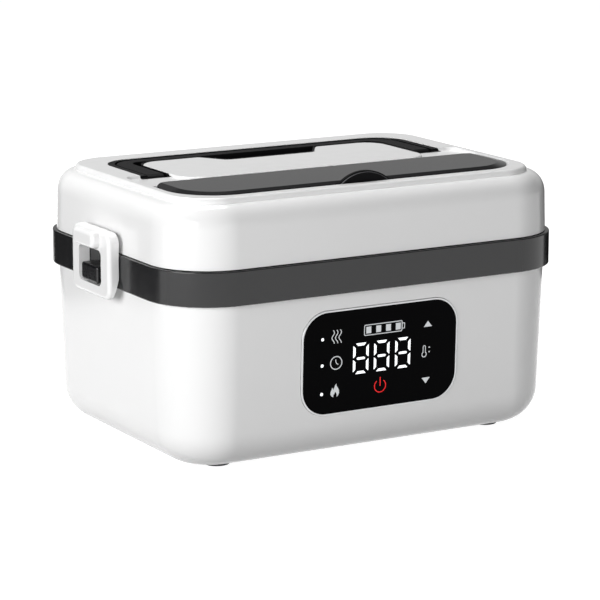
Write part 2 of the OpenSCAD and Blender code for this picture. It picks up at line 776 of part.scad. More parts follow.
module cutlery_tray() {
    w = opening_w + 3;
    front = opening_front - 2;
    back = trough_back - 3;
    low = rim_z - cutlery_depth - 1.2;
    top = plate_under - SNUG;
    mid = (front + back) / 2;
    color("#303134") difference() {
        union() {
            translate([0, mid, 0]) soft_box(w, back - front, 9, rounded_wall(0, low, top, 5, 0.01));
            translate([0, mid, 0]) slab(top - 1.2, top) plan(w + 4, back - front, 9);
        }
        translate([0, mid, 0]) soft_box(w - 2.4, back - front - 2.4, 7.8,
                                        rounded_wall(0, low + 1.2, top + CUT, 4, 0.01));
        translate([-(w / 2 + 4), trough_front - SNUG, trough_z - TROUGH_FLOOR - SNUG]) cube([w + 8, 40, 20]);
    }
}

// ---------- Carry handle ----------

handle_top = rim_z - 0.4;
handle_low = handle_top - handle_t;
handle_out = groove_w / 2 - WELL_RIM - 0.8;
handle_back = groove_back - WELL_RIM_BACK - 0.8;
pin_z = plate_under - 2;
// the arms' ends stay clear of the front of their well when the handle stands up
pin_y = groove_front + LINER_WALL + SNUG + (handle_top - pin_z) + 0.4;
HANDLE_EDGE = 1.6;

module handle_well() {
    low = rim_z - groove_depth - 1;
    color(BLACK) difference() {
        union() {
            difference() {
                slab(low, rim_z - 0.2) groove_plan(SNUG);
                translate([0, 0, 0.2]) strip_pocket();
            }
            slab(plate_under - 1.3, plate_under - SNUG) groove_plan(-2);
            both_sides() translate([panel_w / 2 - 3, pin_y - 3.4, low + 0.4])
                cube([groove_w / 2 - panel_w / 2 + 6, 6.8, plate_under - SNUG - low - 0.4]);
        }
        slab(low + 1, rim_z + CUT) channel_plan();
        both_sides() translate([panel_w / 2 - 3 - CUT, pin_y, pin_z]) rotate([0, 90, 0])
            cylinder(r = handle_pin_r + 0.02, h = groove_w / 2 - panel_w / 2 + 6 + 2 * CUT);
    }
}

module handle_pins() {
    color(STEEL) both_sides() translate([panel_w / 2 - 2.8, pin_y, pin_z]) rotate([0, 90, 0])
        cylinder(r = handle_pin_r, h = groove_w / 2 - panel_w / 2 + 5.6);
}

module carry_handle() {
    reach = 2 * (handle_back - pin_y);
    inner_w = 2 * (handle_out - handle_arm_w);
    bar = 7.4;
    middle = handle_low + handle_t / 2;
    arm_in = handle_out - handle_arm_w;
    color(BLACK) difference() {
        intersection() {
            translate([0, pin_y, 0]) soft_box(2 * handle_out, reach, 16,
                rounded_wall(0, handle_low, handle_top, HANDLE_EDGE, HANDLE_EDGE));
            union() {
                translate([-handle_out - CUT, pin_y, handle_low - CUT])
                    cube([2 * handle_out + 2 * CUT, reach, handle_t + 2 * CUT]);
                translate([0, pin_y, middle]) rotate([0, 90, 0])
                    cylinder(r = handle_t / 2, h = 2 * handle_out + 2 * CUT, center = true);
            }
        }
        translate([0, pin_y, 0]) soft_box(inner_w, reach - 2 * bar, 6, [
            [-HANDLE_EDGE, handle_low - CUT], [-HANDLE_EDGE / 2, handle_low + 0.4],
            [0, handle_low + HANDLE_EDGE], [0, handle_top - HANDLE_EDGE],
            [-HANDLE_EDGE / 2, handle_top - 0.4], [-HANDLE_EDGE, handle_top + CUT]]);
        both_sides() translate([arm_in - CUT, pin_y, pin_z]) rotate([0, 90, 0])
            cylinder(r = handle_pin_r + RUNNING, h = handle_arm_w + 2 * CUT);
    }
}

// ---------- Cover of the cutlery compartment ----------

COVER_BACK_R = 10.5;
BARREL_END = 8;          // the barrel stops this far inside the cover's rounded back corners
BEVEL_W = 5.5;
BEVEL_DROP = 1.1;
TAB_T = 2.2;

module cutlery_cover() {
    depth = 2 * (cover_front - cover_back);
    barrel_w = cover_w - 2 * BARREL_END;
    color(COVER_GREY) difference() {
        union() {
            intersection() {
                translate([0, -cover_back, 0]) soft_box(cover_w, depth, cover_corner_r, [
                    [0.4, cover_under], [0, cover_under + 0.3],
                    [0, cover_top - BEVEL_DROP - 0.5], [0.5, cover_top - BEVEL_DROP],
                    [BEVEL_W, cover_top]]);
                translate([0, -cover_back - cover_front, 0]) slab(cover_under - CUT, cover_top + CUT)
                    plan(cover_w + 0.02, 2 * cover_front, COVER_BACK_R);
            }
            translate([0, rod_y, rod_z]) rotate([0, 90, 0])
                cylinder(r = barrel_r, h = barrel_w, center = true);
            translate([-barrel_w / 2, rod_y - barrel_r, rod_z])
                cube([barrel_w, 2 * barrel_r, cover_under - rod_z + 0.2]);
        }
        translate([0, rod_y, rod_z]) rotate([0, 90, 0])
            cylinder(r = rod_r + RUNNING, h = cover_w + CUT, center = true);
        both_sides() translate([LUG_X - LUG_W / 2 - PLAY, rod_y - 3, rod_z - 3])
            cube([LUG_W + 2 * PLAY, 6, cover_under - rod_z + 3]);
        translate([-(tab_w / 2 + SNUG), -cover_front - CUT, cover_under - CUT])
            cube([tab_w + 2 * SNUG, TAB_T + SNUG + CUT, cover_t + 2 * CUT]);
    }
}

// Upright half disc at the cover's front edge
module cover_pull_tab() {
    foot = cover_under + 0.1;
    r = (tab_w * tab_w / 4 + tab_h * tab_h) / (2 * tab_h);
    color(BLACK) translate([0, -cover_front + TAB_T, foot]) rotate([90, 0, 0]) intersection() {
        translate([0, tab_h - r, 0]) union() {
            cylinder(r = r, h = TAB_T - 0.4);
            translate([0, 0, TAB_T - 0.4]) cylinder(r1 = r, r2 = r - 0.4, h = 0.4);
        }
        translate([-tab_w, 0, -CUT]) cube([2 * tab_w, tab_h + CUT, TAB_T + 2 * CUT]);
    }
}

module cover_hinge_rod() {
    color(STEEL) translate([0, rod_y, rod_z]) rotate([0, 90, 0])
        cylinder(r = rod_r, h = trough_w + 2 * ROD_SEAT - 0.4, center = true);
}

// ---------- Side latches, drawn on the left and mirrored to the right ----------

BLOCK_W = 18.6;
BLOCK_LOW = 1.5;
BLOCK_H = 9.1;
BLOCK_OUT = 7;
LIP_W = 24;
LIP_H = 9;
LIP_OUT = 4.6;
latch_x = belt_w / 2 + PLAY;
latch_low = belt_bottom - latch_drop;
latch_mid = latch_low + latch_h / 2;
window_low = belt_bottom + 0.6;
pivot_z = belt_bottom + 6.5;
pivot_x = belt_w / 2 + 3.5;

// Places children on a side: local x up, y along the wall and z outwards
module on_left(x, z) {
    translate([-x, 0, z]) rotate([0, -90, 0]) children();
}

module latch_block() {
    color(BLACK) difference() {
        on_left(belt_w / 2, belt_bottom + BLOCK_LOW + BLOCK_H / 2)
            soft_box(BLOCK_H, BLOCK_W, 1.4, [[0, 0], [0, BLOCK_OUT - 1.2],
                                             [0.35, BLOCK_OUT - 0.35], [1.2, BLOCK_OUT]]);
        translate([-pivot_x, 0, pivot_z]) rotate([90, 0, 0])
            cylinder(r = latch_pin_r + RUNNING, h = BLOCK_W + 2 * CUT, center = true);
    }
}

module latch_frame() {
    pillow = 2.2;
    color(WHITE) difference() {
        union() {
            on_left(latch_x, latch_mid) soft_box(latch_h, latch_w, latch_corner_r,
                concat([[0.4, 0], [0, 0.4]],
                       arc_points(pillow, latch_t - pillow, pillow, pillow, 180, 90, 5)));
            on_left(latch_x, latch_low + latch_h - LIP_H / 2) soft_box(LIP_H, LIP_W, 3.4,
                concat([[0, 0.2]],
                       arc_points(2.4, latch_t + LIP_OUT - 2.4, 2.4, 2.4, 180, 90, 5)));
        }
        on_left(latch_x, window_low + window_h / 2) slab(-CUT, latch_t + LIP_OUT + CUT)
            plan(window_h, window_w, 3);
        // heel relief, so that the frame's foot can swing in under the belt
        translate([-latch_x + PLAY, 0, pivot_z]) rotate([0, latch_swing, 0])
            translate([-PLAY, -latch_w, -2 * latch_h]) cube([latch_h, 2 * latch_w, 2 * latch_h]);
        translate([-pivot_x, 0, pivot_z]) rotate([90, 0, 0])
            cylinder(r = latch_pin_r + 0.02, h = latch_w - 6, center = true);
    }
}

module latch_pin() {
    color(STEEL) translate([-pivot_x, 0, pivot_z]) rotate([90, 0, 0])
        cylinder(r = latch_pin_r, h = latch_w - 6.4, center = true);
}

module latch_block_left() { latch_block(); }
module latch_block_right() { mirror([1, 0, 0]) latch_block(); }
module latch_left() { latch_frame(); }
module latch_right() { mirror([1, 0, 0]) latch_frame(); }
module latch_pin_left() { latch_pin(); }
module latch_pin_right() { mirror([1, 0, 0]) latch_pin(); }

outer_shell();
belt_ring();
base_plate();
base_screws();
rubber_feet();
latch_block_left();
latch_block_right();
display_bezel();
display_glass();
display_board();
inner_well();
heater_plate();
thermal_cutouts();
insulation_pad();
control_board();
battery_cradle();
battery_cells();
battery_clamp();
charge_socket();
socket_contact();
food_tray();
tray_lid();
tray_seal();
vent_plug();
lid_shell();
lid_liner();
lid_seal();
lid_screws();
cutlery_tray();
handle_well();
handle_pins();
cover_hinge_rod();
carry_handle();
cutlery_cover();
cover_pull_tab();
latch_left();
latch_pin_left();
latch_right();
latch_pin_right();
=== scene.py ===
"""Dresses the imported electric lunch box: hand-shaped pieces, finishes, floor, lamps and camera.

Front is -Y, +X is to the right and z = 0 is the surface it stands on. Sizes are millimetres
until a helper turns them into Blender's metres.
"""
import logging
import math
from collections.abc import Callable, Iterator
from contextlib import contextmanager
from dataclasses import dataclass
from enum import Enum
from itertools import pairwise
from typing import ClassVar

import bmesh
import bpy
from mathutils import Matrix, Vector


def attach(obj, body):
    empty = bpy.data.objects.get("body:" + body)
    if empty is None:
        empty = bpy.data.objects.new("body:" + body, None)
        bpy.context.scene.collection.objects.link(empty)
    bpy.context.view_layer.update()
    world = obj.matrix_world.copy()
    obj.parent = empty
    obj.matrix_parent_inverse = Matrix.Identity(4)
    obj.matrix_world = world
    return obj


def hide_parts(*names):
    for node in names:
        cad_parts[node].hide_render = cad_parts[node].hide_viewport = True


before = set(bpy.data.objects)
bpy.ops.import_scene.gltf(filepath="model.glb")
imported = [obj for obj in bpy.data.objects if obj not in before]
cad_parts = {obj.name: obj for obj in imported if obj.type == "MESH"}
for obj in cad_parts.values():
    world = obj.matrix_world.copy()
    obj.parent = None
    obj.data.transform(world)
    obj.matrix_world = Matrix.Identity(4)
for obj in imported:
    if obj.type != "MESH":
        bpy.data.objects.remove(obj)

LOG = logging.getLogger("lunch_box")
MM = 0.001
Piece = bpy.types.Object
Profile = list[tuple[float, float]]  # [inset from an outline, height], in millimetres
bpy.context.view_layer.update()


class Join(Enum):
    """How one solid is joined to another."""

    CUT = "DIFFERENCE"
    WELD = "UNION"
    SHARE = "INTERSECT"


class Side(Enum):
    """The two ends of the box, as the sign of X."""

    LEFT = -1
    RIGHT = 1

    @property
    def word(self) -> str:
        """The side in a name."""
        return self.name.lower()


# ---------- Outlines and profiles ----------


@dataclass(frozen=True)
class Outline:
    """Rounded rectangle in plan."""

    width: float
    depth: float
    front_r: float
    rear_r: float
    mid_y: float = 0.0
    mid_x: float = 0.0

    def drawn_in(self, by: float) -> "Outline":
        """The same outline drawn in by a distance, or let out by a negative one."""
        return Outline(self.width - 2 * by, self.depth - 2 * by, max(self.front_r - by, 0.0),
                       max(self.rear_r - by, 0.0), self.mid_y, self.mid_x)


def spanning(width: float, front: float, back: float, front_r: float, rear_r: float) -> Outline:
    """Outline of a width that reaches from one y to another."""
    return Outline(width, back - front, front_r, rear_r, (front + back) / 2)


def roll(inset: float, height: float, reach: float, rise: float, start: float, stop: float,
         steps: int = 8) -> Profile:
    """Points of an elliptical roll about a centre.

    Args:
        inset: inset of the roll's centre.
        height: height of the roll's centre.
        reach: horizontal radius.
        rise: vertical radius.
        start: first angle in degrees, 180 being outermost.
        stop: last angle in degrees, 90 being the top.
        steps: number of steps.

    Returns:
        The roll's points as a profile.
    """
    angles = [math.radians(start + (stop - start) * i / steps) for i in range(steps + 1)]
    return [(inset + reach * math.cos(a), height + rise * math.sin(a)) for a in angles]


def round_top(radius: float, top: float, steps: int) -> Profile:
    """Points of a quarter round at the top of an upright wall."""
    return roll(radius, top - radius, radius, radius, 180, 90, steps)


# ---------- Modelling ----------


def only(*pieces: Piece) -> None:
    """Selects these pieces alone, the first one active."""
    bpy.ops.object.select_all(action="DESELECT")
    for piece in pieces:
        piece.select_set(True)
    if pieces:
        bpy.context.view_layer.objects.active = pieces[0]


@contextmanager
def editing(piece: Piece, mode: str = "FACE", whole: bool = False) -> Iterator[None]:
    """Opens a piece in edit mode with nothing of it selected, or the whole of it."""
    only(piece)
    bpy.ops.object.mode_set(mode="EDIT")
    bpy.ops.mesh.select_mode(type=mode)
    bpy.ops.mesh.select_all(action="SELECT" if whole else "DESELECT")
    yield
    bpy.ops.object.mode_set(mode="OBJECT")


def pick(piece: Piece, kind: str, wanted: Callable[..., bool]) -> None:
    """Selects an open piece's verts, edges or faces."""
    mesh = bmesh.from_edit_mesh(piece.data)
    for element in getattr(mesh, kind):
        element.select = wanted(element)
    mesh.select_flush_mode()
    bmesh.update_edit_mesh(piece.data)


def pick_verts(piece: Piece, wanted: Callable[[Vector], bool]) -> None:
    """Selects an open piece's corners by their place in millimetres."""
    pick(piece, "verts", lambda vert: wanted(vert.co / MM))


def pick_edges(piece: Piece, wanted: Callable[[Vector, Vector], bool]) -> None:
    """Selects an open piece's edges by the places of their two ends in millimetres."""
    pick(piece, "edges", lambda edge: wanted(edge.verts[0].co / MM, edge.verts[1].co / MM))


def keep_place() -> None:
    """Keeps the selected piece's place, turn and size in its mesh."""
    bpy.ops.object.transform_apply(location=True, rotation=True, scale=True)


def sheet(name: str, outline: Outline, height: float) -> Piece:
    """Flat sheet with rounded corners, which the other shapes are drawn from.

    Args:
        name: the piece's name.
        outline: the sheet's outline.
        height: its height.

    Returns:
        The sheet, facing up.
    """
    only()
    middle = (outline.mid_x * MM, outline.mid_y * MM, height * MM)
    bpy.ops.mesh.primitive_plane_add(size=1.0, location=middle)
    piece = bpy.context.object
    piece.name = name
    piece.scale = (outline.width * MM, outline.depth * MM, 1.0)
    keep_place()
    reach_x, reach_y = outline.width / 2 - 0.001, outline.depth / 2 - 0.001
    for side, radius in ((-1, outline.front_r), (1, outline.rear_r)):
        if radius <= 0:
            continue
        with editing(piece, "VERT"):
            pick_verts(piece, lambda at: abs(at.x - outline.mid_x) > reach_x
                       and (at.y - outline.mid_y) * side > reach_y)
            bpy.ops.mesh.bevel(offset=radius * MM, segments=24 if radius > 12 else 10,
                               affect="VERTICES", profile=0.5)
    return piece


def follow(profile: Profile, facing: int) -> None:
    """Carries the selected sheet of the open piece along a profile, leaving walls behind it."""
    for (inset, height), (next_inset, next_height) in pairwise(profile):
        step, rise = (next_inset - inset) * MM, (next_height - height) * MM
        if step > 1e-8:
            bpy.ops.mesh.inset(thickness=step, depth=rise * facing, use_even_offset=True)
        else:
            bpy.ops.mesh.extrude_region_move(TRANSFORM_OT_translate={"value": (0.0, 0.0, rise)})


def swept(name: str, outline: Outline, up: Profile, down: Profile | None = None) -> Piece:
    """Closed solid whose wall follows a profile upwards, and another downwards, from its widest line.

    Args:
        name: the piece's name.
        outline: outline that the insets are measured from.
        up: profile from the widest line upwards.
        down: rest of the profile, from the widest line downwards.

    Returns:
        The solid, its normals outwards.
    """
    inset, height = up[0]
    piece = sheet(name, outline.drawn_in(inset), height)
    with editing(piece, whole=True):
        follow(up, 1)
        bpy.ops.mesh.select_mode(type="EDGE")
        bpy.ops.mesh.select_all(action="DESELECT")
        bpy.ops.mesh.select_non_manifold(extend=False, use_wire=False, use_boundary=True,
                                         use_multi_face=False, use_non_contiguous=False, use_verts=False)
        mesh = bmesh.from_edit_mesh(piece.data)
        if any(edge.select for edge in mesh.edges):
            bpy.ops.mesh.edge_face_add()
        bpy.ops.mesh.select_mode(type="FACE")
        mesh = bmesh.from_edit_mesh(piece.data)
        if not any(face.select for face in mesh.faces):  # a first step straight up has kept its sheet
            for face in mesh.faces:
                face.select = all(abs(vert.co.z / MM - height) < 1e-4 for vert in face.verts)
        if next(face for face in mesh.faces if face.select).normal.z > 0:
            bpy.ops.mesh.flip_normals()
        follow([up[0], *(down or [])], -1)
    return piece


def slab(name: str, outline: Outline, low: float, high: float) -> Piece:
    """Upright prism of an outline."""
    return swept(name, outline, [(0.0, low), (0.0, high)])


def block(name: str, low: tuple[float, float, float], high: tuple[float, float, float]) -> Piece:
    """Square-edged block between two corners."""
    return slab(name, Outline(high[0] - low[0], high[1] - low[1], 0, 0, (low[1] + high[1]) / 2,
                              (low[0] + high[0]) / 2), low[2], high[2])


def cylinder(name: str, radius: float, depth: float, at: tuple[float, float, float],
             turn: tuple[float, float, float] = (0.0, 0.0, 0.0), corners: int = 32) -> Piece:
    """Round bar, or a prism of a few corners.

    Args:
        name: the piece's name.
        radius: its radius.
        depth: its length.
        at: its middle.
        turn: its turn from upright, in radians.
        corners: number of corners.

    Returns:
        The bar.
    """
    only()
    bpy.ops.mesh.primitive_cylinder_add(vertices=corners, radius=radius * MM, depth=depth * MM,
                                        location=tuple(place * MM for place in at), rotation=turn)
    piece = bpy.context.object
    piece.name = name
    keep_place()
    return piece


def lay(spline: bpy.types.Spline, points: list[tuple[float, float]]) -> None:
    """Lays a spline through points, with as many as it takes."""
    spline.points.add(len(points) - len(spline.points))
    for point, (x, y) in zip(spline.points, points):
        point.co = (x * MM, y * MM, 0.0, 1.0)


def eased(piece: Piece, wanted: Callable[[Vector, Vector], bool], radius: float, segments: int) -> Piece:
    """Rounds the edges that are picked by the places of their two ends."""
    with editing(piece, "EDGE"):
        pick_edges(piece, wanted)
        bpy.ops.mesh.bevel(offset=radius * MM, segments=segments, affect="EDGES")
    return piece


def apply_modifiers(piece: Piece) -> None:
    """Applies what modifiers a piece has."""
    only(piece)
    for modifier in list(piece.modifiers):
        bpy.ops.object.modifier_apply(modifier=modifier.name)


def join(piece: Piece, other: Piece, how: Join) -> Piece:
    """Joins a second solid to a piece, or cuts it away, and uses the second one up."""
    modifier = piece.modifiers.new(how.value.title(), "BOOLEAN")
    modifier.operation, modifier.solver, modifier.object = how.value, "EXACT", other
    apply_modifiers(piece)
    bpy.data.objects.remove(other, do_unlink=True)
    return piece


def cut(piece: Piece, *others: Piece) -> Piece:
    """Cuts other solids out of a piece."""
    for other in others:
        join(piece, other, Join.CUT)
    return piece


def weld(piece: Piece, *others: Piece) -> Piece:
    """Welds other solids to a piece."""
    for other in others:
        join(piece, other, Join.WELD)
    return piece


def gathered(name: str, *pieces: Piece) -> Piece:
    """Several loose solids as one piece."""
    only(*pieces)
    if len(pieces) > 1:
        bpy.ops.object.join()
    pieces[0].name = name
    return pieces[0]


def repeated(piece: Piece, places: list[Matrix]) -> Piece:
    """A solid modelled once and set at each place, as one piece."""
    copies = []
    for place in places:
        only(piece)
        bpy.ops.object.duplicate(linked=False)
        copies.append(settled(bpy.context.object, place))
    name = piece.name
    bpy.data.objects.remove(piece, do_unlink=True)
    return gathered(name, *copies)


def settled(piece: Piece, place: Matrix) -> Piece:
    """Moves a piece from where it was drawn to its place, and keeps that in its mesh."""
    piece.matrix_world = place
    only(piece)
    keep_place()
    if place.determinant() < 0:
        with editing(piece, whole=True):
            bpy.ops.mesh.normals_make_consistent(inside=False)
    return piece


def rounded(piece: Piece, radius: float, segments: int = 3, angle: float = 40.0) -> Piece:
    """Rounds the edges that are sharper than an angle."""
    modifier = piece.modifiers.new("Rounded edges", "BEVEL")
    modifier.width, modifier.segments = radius * MM, segments
    modifier.limit_method, modifier.angle_limit = "ANGLE", math.radians(angle)
    modifier.use_clamp_overlap = True
    apply_modifiers(piece)
    return piece


def smoothed(piece: Piece, angle: float = 32.0) -> Piece:
    """Shades a finished piece smooth across gentle edges, and keeps its flats flat."""
    with editing(piece, whole=True):
        bpy.ops.mesh.remove_doubles(threshold=1e-6)
        bpy.ops.mesh.dissolve_degenerate(threshold=1e-6)
    only(piece)
    bpy.ops.object.shade_smooth_by_angle(angle=math.radians(angle))
    piece.modifiers.new("Flat flats", "WEIGHTED_NORMAL").keep_sharp = True
    apply_modifiers(piece)
    return piece


def copied(node: str, name: str) -> Piece:
    """Merged and smoothed copy of a construction node."""
    only()
    piece = bpy.data.objects.new(name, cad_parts[node].data.copy())
    bpy.context.scene.collection.objects.link(piece)
    with editing(piece, whole=True):
        bpy.ops.mesh.remove_doubles(threshold=2e-6)
        bpy.ops.mesh.dissolve_limited(angle_limit=math.radians(0.2))
    return smoothed(piece)


# ---------- Where things stand ----------

BELT = Outline(240.0, 175.0, 36.0, 36.0)
BELT_LOW, BELT_TOP = 89.0, 107.0
LID_Z, RIM_Z = 107.4, 142.2
STRIP_Z, PLATE_UNDER = 140.6, 138.2
WALL = 2.4
SHELL_DRAFT = 2.0
SHELL_INSET = 3.1
ROD_Y, ROD_Z = -22.0, 139.2  # the cover's hinge rod
LUG_X = 60.0  # lugs that carry the rod
CUT_LOW, CUT_HIGH = 120.0, 150.0  # reach of cutters that pass right through the lid's top


def shifted(x: float, y: float, z: float = 0.0) -> Matrix:
    """Place shifted by millimetres."""
    return Matrix.Translation((x * MM, y * MM, z * MM))


def turned(degrees: float, axis: str = "Z") -> Matrix:
    """Place turned about an axis."""
    return Matrix.Rotation(math.radians(degrees), 4, axis)


def on_front(down: float) -> Matrix:
    """Place on the leaning front wall, below the belt: x to the right, y up the wall, z outwards."""
    wall = shifted(0, -(BELT.depth / 2 - SHELL_INSET), BELT_LOW)
    return wall @ turned(90 + SHELL_DRAFT, "X") @ shifted(0, -down)


def on_rear(down: float) -> Matrix:
    """Place on the leaning rear wall, below the belt."""
    return turned(180) @ on_front(down)


def on_end(side: Side, out: float, height: float) -> Matrix:
    """Place on an end of the box: x along the wall, y up and z outwards."""
    left = shifted(-out, 0, height) @ turned(-90) @ turned(90, "X")
    return left if side is Side.LEFT else Matrix.Diagonal((-1, 1, 1, 1)) @ left


# ---------- Finishes ----------

TINT_SCALE = 60.0  # size of the slow drift in tone, in millimetres


def linear(colour: str) -> tuple[float, float, float, float]:
    """Linear colour of an sRGB hex value."""
    channels = [int(colour[i:i + 2], 16) / 255 for i in (1, 3, 5)]
    red, green, blue = (c / 12.92 if c <= 0.04045 else ((c + 0.055) / 1.055) ** 2.4 for c in channels)
    return red, green, blue, 1.0


def blank_tree(owner: bpy.types.Material | bpy.types.World) -> bpy.types.NodeTree:
    """The owner's shader tree, emptied."""
    owner.use_nodes = True
    owner.node_tree.nodes.clear()
    return owner.node_tree


def add_node(tree: bpy.types.NodeTree, kind: str, sockets: dict[str | int, object] | None = None,
             **settings: object) -> bpy.types.Node:
    """Adds a shader node.

    Args:
        tree: the material's node tree.
        kind: the node's type, without its prefix.
        sockets: value of, or link to, each input.
        **settings: the node's own options.

    Returns:
        The node.
    """
    node = tree.nodes.new("ShaderNode" + kind)
    for option, value in settings.items():
        setattr(node, option, value)
    for socket, value in (sockets or {}).items():
        if isinstance(value, bpy.types.NodeSocket):
            tree.links.new(value, node.inputs[socket])
        else:
            node.inputs[socket].default_value = value
    return node


@dataclass(frozen=True)
class Finish:
    """A material of the lunch box: what it is made of and how its surface was made.

    The colour drifts slowly to the shade. Roughness varies by its spread with a grain whose size and
    relief are in millimetres, stretched along the axes where the surface was brushed.
    """

    name: str
    colour: str
    shade: str
    roughness: float
    rough_spread: float = 0.04
    ior: float = 1.5
    metallic: float = 0.0
    grain: float = 2.0
    relief: float = 0.0
    specular: float = 0.5
    anisotropic: float = 0.0
    stretch: tuple[float, float, float] = (1.0, 1.0, 1.0)
    emission: float = 0.0

    def make(self) -> bpy.types.Material:
        """Builds the material, or returns it where it has been built before."""
        made = bpy.data.materials.get(self.name)
        if made:
            return made
        made = bpy.data.materials.new(self.name)
        tree = blank_tree(made)
        place = add_node(tree, "TexCoord").outputs["Object"]
        place = add_node(tree, "Mapping", {"Vector": place, "Scale": self.stretch}).outputs["Vector"]
        cloud = add_node(tree, "TexNoise", {
            "Vector": place, "Scale": 1 / (TINT_SCALE * MM), "Detail": 2.0}).outputs["Fac"]
        grain = add_node(tree, "TexNoise", {
            "Vector": place, "Scale": 1 / (self.grain * MM), "Detail": 3.0, "Roughness": 0.55}).outputs["Fac"]
        colour = add_node(tree, "Mix", {
            "Factor": cloud, 6: linear(self.colour), 7: linear(self.shade)}, data_type="RGBA").outputs[2]
        rough = add_node(tree, "MapRange", {
            "Value": grain, "From Min": 0.3, "From Max": 0.7,
            "To Min": max(self.roughness - self.rough_spread, 0.0),
            "To Max": self.roughness + self.rough_spread}).outputs["Result"]
        sockets = {"Base Color": colour, "Roughness": rough, "IOR": self.ior, "Metallic": self.metallic,
                   "Specular IOR Level": self.specular, "Anisotropic": self.anisotropic,
                   "Emission Strength": self.emission}
        if self.emission:
            sockets["Emission Color"] = colour
        if self.relief:
            sockets["Normal"] = add_node(tree, "Bump", {
                "Height": grain, "Strength": 1.0, "Distance": self.relief * MM}).outputs["Normal"]
        surface = add_node(tree, "BsdfPrincipled", sockets)
        add_node(tree, "OutputMaterial", {"Surface": surface.outputs["BSDF"]})
        return made

    def wear(self, piece: Piece) -> Piece:
        """Gives a piece this finish all over."""
        piece.data.materials.clear()
        piece.data.materials.append(self.make())
        return piece


# Glossy ABS from a polished mould: a clear reflection that breathes a little over the broad walls
GLOSSY_WHITE = Finish("glossy_moulded_abs", "#F1F1F1", "#EEEEEE", 0.16, 0.02, 1.53, grain=7.0, relief=0.004)
# Charcoal ABS from the same kind of mould: a soft sheen over a deep grey
BELT_GREY = Finish("charcoal_moulded_abs", "#242425", "#222223", 0.2, 0.03, 1.53, grain=5.0, relief=0.003)
# Charcoal ABS from a finely eroded mould: a sheen that goes dark where the cover tilts away
COVER_GREY = Finish("spark_eroded_abs", "#202021", "#1E1E1F", 0.16, 0.03, 1.53, grain=0.5, relief=0.002,
                    specular=0.3)
# Satin nylon with glass fibre: nearly black, edges catch a narrow light
HANDLE_BLACK = Finish("satin_glass_nylon", "#151516", "#131314", 0.4, 0.05, 1.53, grain=0.8, relief=0.004,
                      specular=0.03)
# The same nylon on the narrow bead round the tab's face, in a lighter grey: a painted highlight where its
# chamfer catches the light
BEAD_PAINTED_HIGHLIGHT = Finish("nylon_bead_painted_highlight", "#626264", "#5C5C5E", 0.45, 0.05, 1.53, grain=0.8, specular=0.2)
# Black ABS of the latch blocks, the socket and the cutlery tray: dark, with a plain half gloss
DEEP_BLACK = Finish("black_moulded_abs", "#161618", "#131315", 0.3, 0.05, 1.53, grain=1.2, relief=0.004)
# Metallic paint on the border: a pale silver line that takes its tone from the room
TRIM_SILVER = Finish("painted_trim_abs", "#DEDFE0", "#DADBDC", 0.34, 0.01, metallic=0.6, grain=6.0)
# Smoked glass printed black from behind: deep, with the faintest mirror on top
SMOKED_GLASS = Finish("smoked_display_glass", "#050506", "#040405", 0.06, 0.01, grain=12.0, specular=0.02)
# Lamps behind clear print: flat white light
LIT_WHITE = Finish("lit_white_figures", "#F4F6F7", "#EFF2F4", 0.5, 0.0, emission=0.85)
# Lamps behind grey print: the same light at half its strength
LIT_GREY = Finish("lit_grey_signs", "#C4C7C9", "#BFC2C4", 0.5, 0.0, emission=0.4)
# Lamp behind red print: a small clear red
LIT_RED = Finish("lit_red_sign", "#D81C1C", "#D01818", 0.5, 0.0, emission=0.55)
# Stainless steel brushed along the box: faint streaks, highlights drawn out across them
BRUSHED_STEEL = Finish("brushed_stainless_steel", "#D3D5D6", "#CBCDCE", 0.32, 0.03, metallic=1.0, grain=0.7,
                       relief=0.0004, anisotropic=0.4, stretch=(0.08, 1.0, 1.0))
# Plated steel of the rod, pins and screws: short, bright highlights
BRIGHT_STEEL = Finish("plated_steel", "#C6C8CB", "#B9BBBE", 0.2, 0.05, metallic=1.0, grain=0.6, relief=0.002)
# Cast aluminium: a dull metal with a finely pitted skin
CAST_ALUMINIUM = Finish("cast_aluminium", "#B4B7BA", "#A9ACAF", 0.5, 0.08, metallic=1.0, grain=1.5,
                        relief=0.02)
# Fired steatite: a chalky off-white
STEATITE = Finish("steatite_ceramic", "#DCD8CC", "#D2CEC1", 0.6, 0.05, grain=1.0, relief=0.01)
# Needled glass felt: a rough, creamy nap without any shine
NEEDLE_FELT = Finish("needled_glass_felt", "#E6E0CD", "#D6CFB9", 0.95, 0.03, grain=0.8, relief=0.25)
# Shrunk sleeve of a cell: taut blue film with a half gloss
SHRINK_WRAP = Finish("shrink_wrapped_cell", "#3C74B2", "#3569A5", 0.35, 0.08, grain=3.0, relief=0.01)
# Rolled spring brass: warm and bright
SPRING_BRASS = Finish("spring_brass", "#D3AE58", "#C39D49", 0.25, 0.06, metallic=1.0, grain=0.8)
# Lacquered circuit board: dark green with a smooth sheen
SOLDER_MASK = Finish("green_solder_mask", "#1E5A38", "#1A5032", 0.35, 0.06, grain=2.0, relief=0.01)
# Frosted polypropylene: pale and cool, its shine spread wide
TRAY_LID_CLEAR = Finish("frosted_polypropylene", "#DDE3E5", "#D5DBDD", 0.32, 0.05, 1.49, grain=1.0,
                        relief=0.006)
# Moulded silicone, milky for the seals and grey for the vent plug: soft and nearly matt
CLEAR_SILICONE = Finish("milky_silicone", "#D8DBDA", "#CFD3D2", 0.5, 0.08, 1.41, grain=1.0, relief=0.01)
GREY_SILICONE = Finish("grey_silicone", "#8C9193", "#84898B", 0.55, 0.08, 1.41, grain=1.0, relief=0.01)
# Moulded rubber: a dry dark grey
MOULDED_RUBBER = Finish("moulded_rubber", "#3E3E40", "#38383A", 0.7, 0.08, 1.52, grain=0.8, relief=0.02)


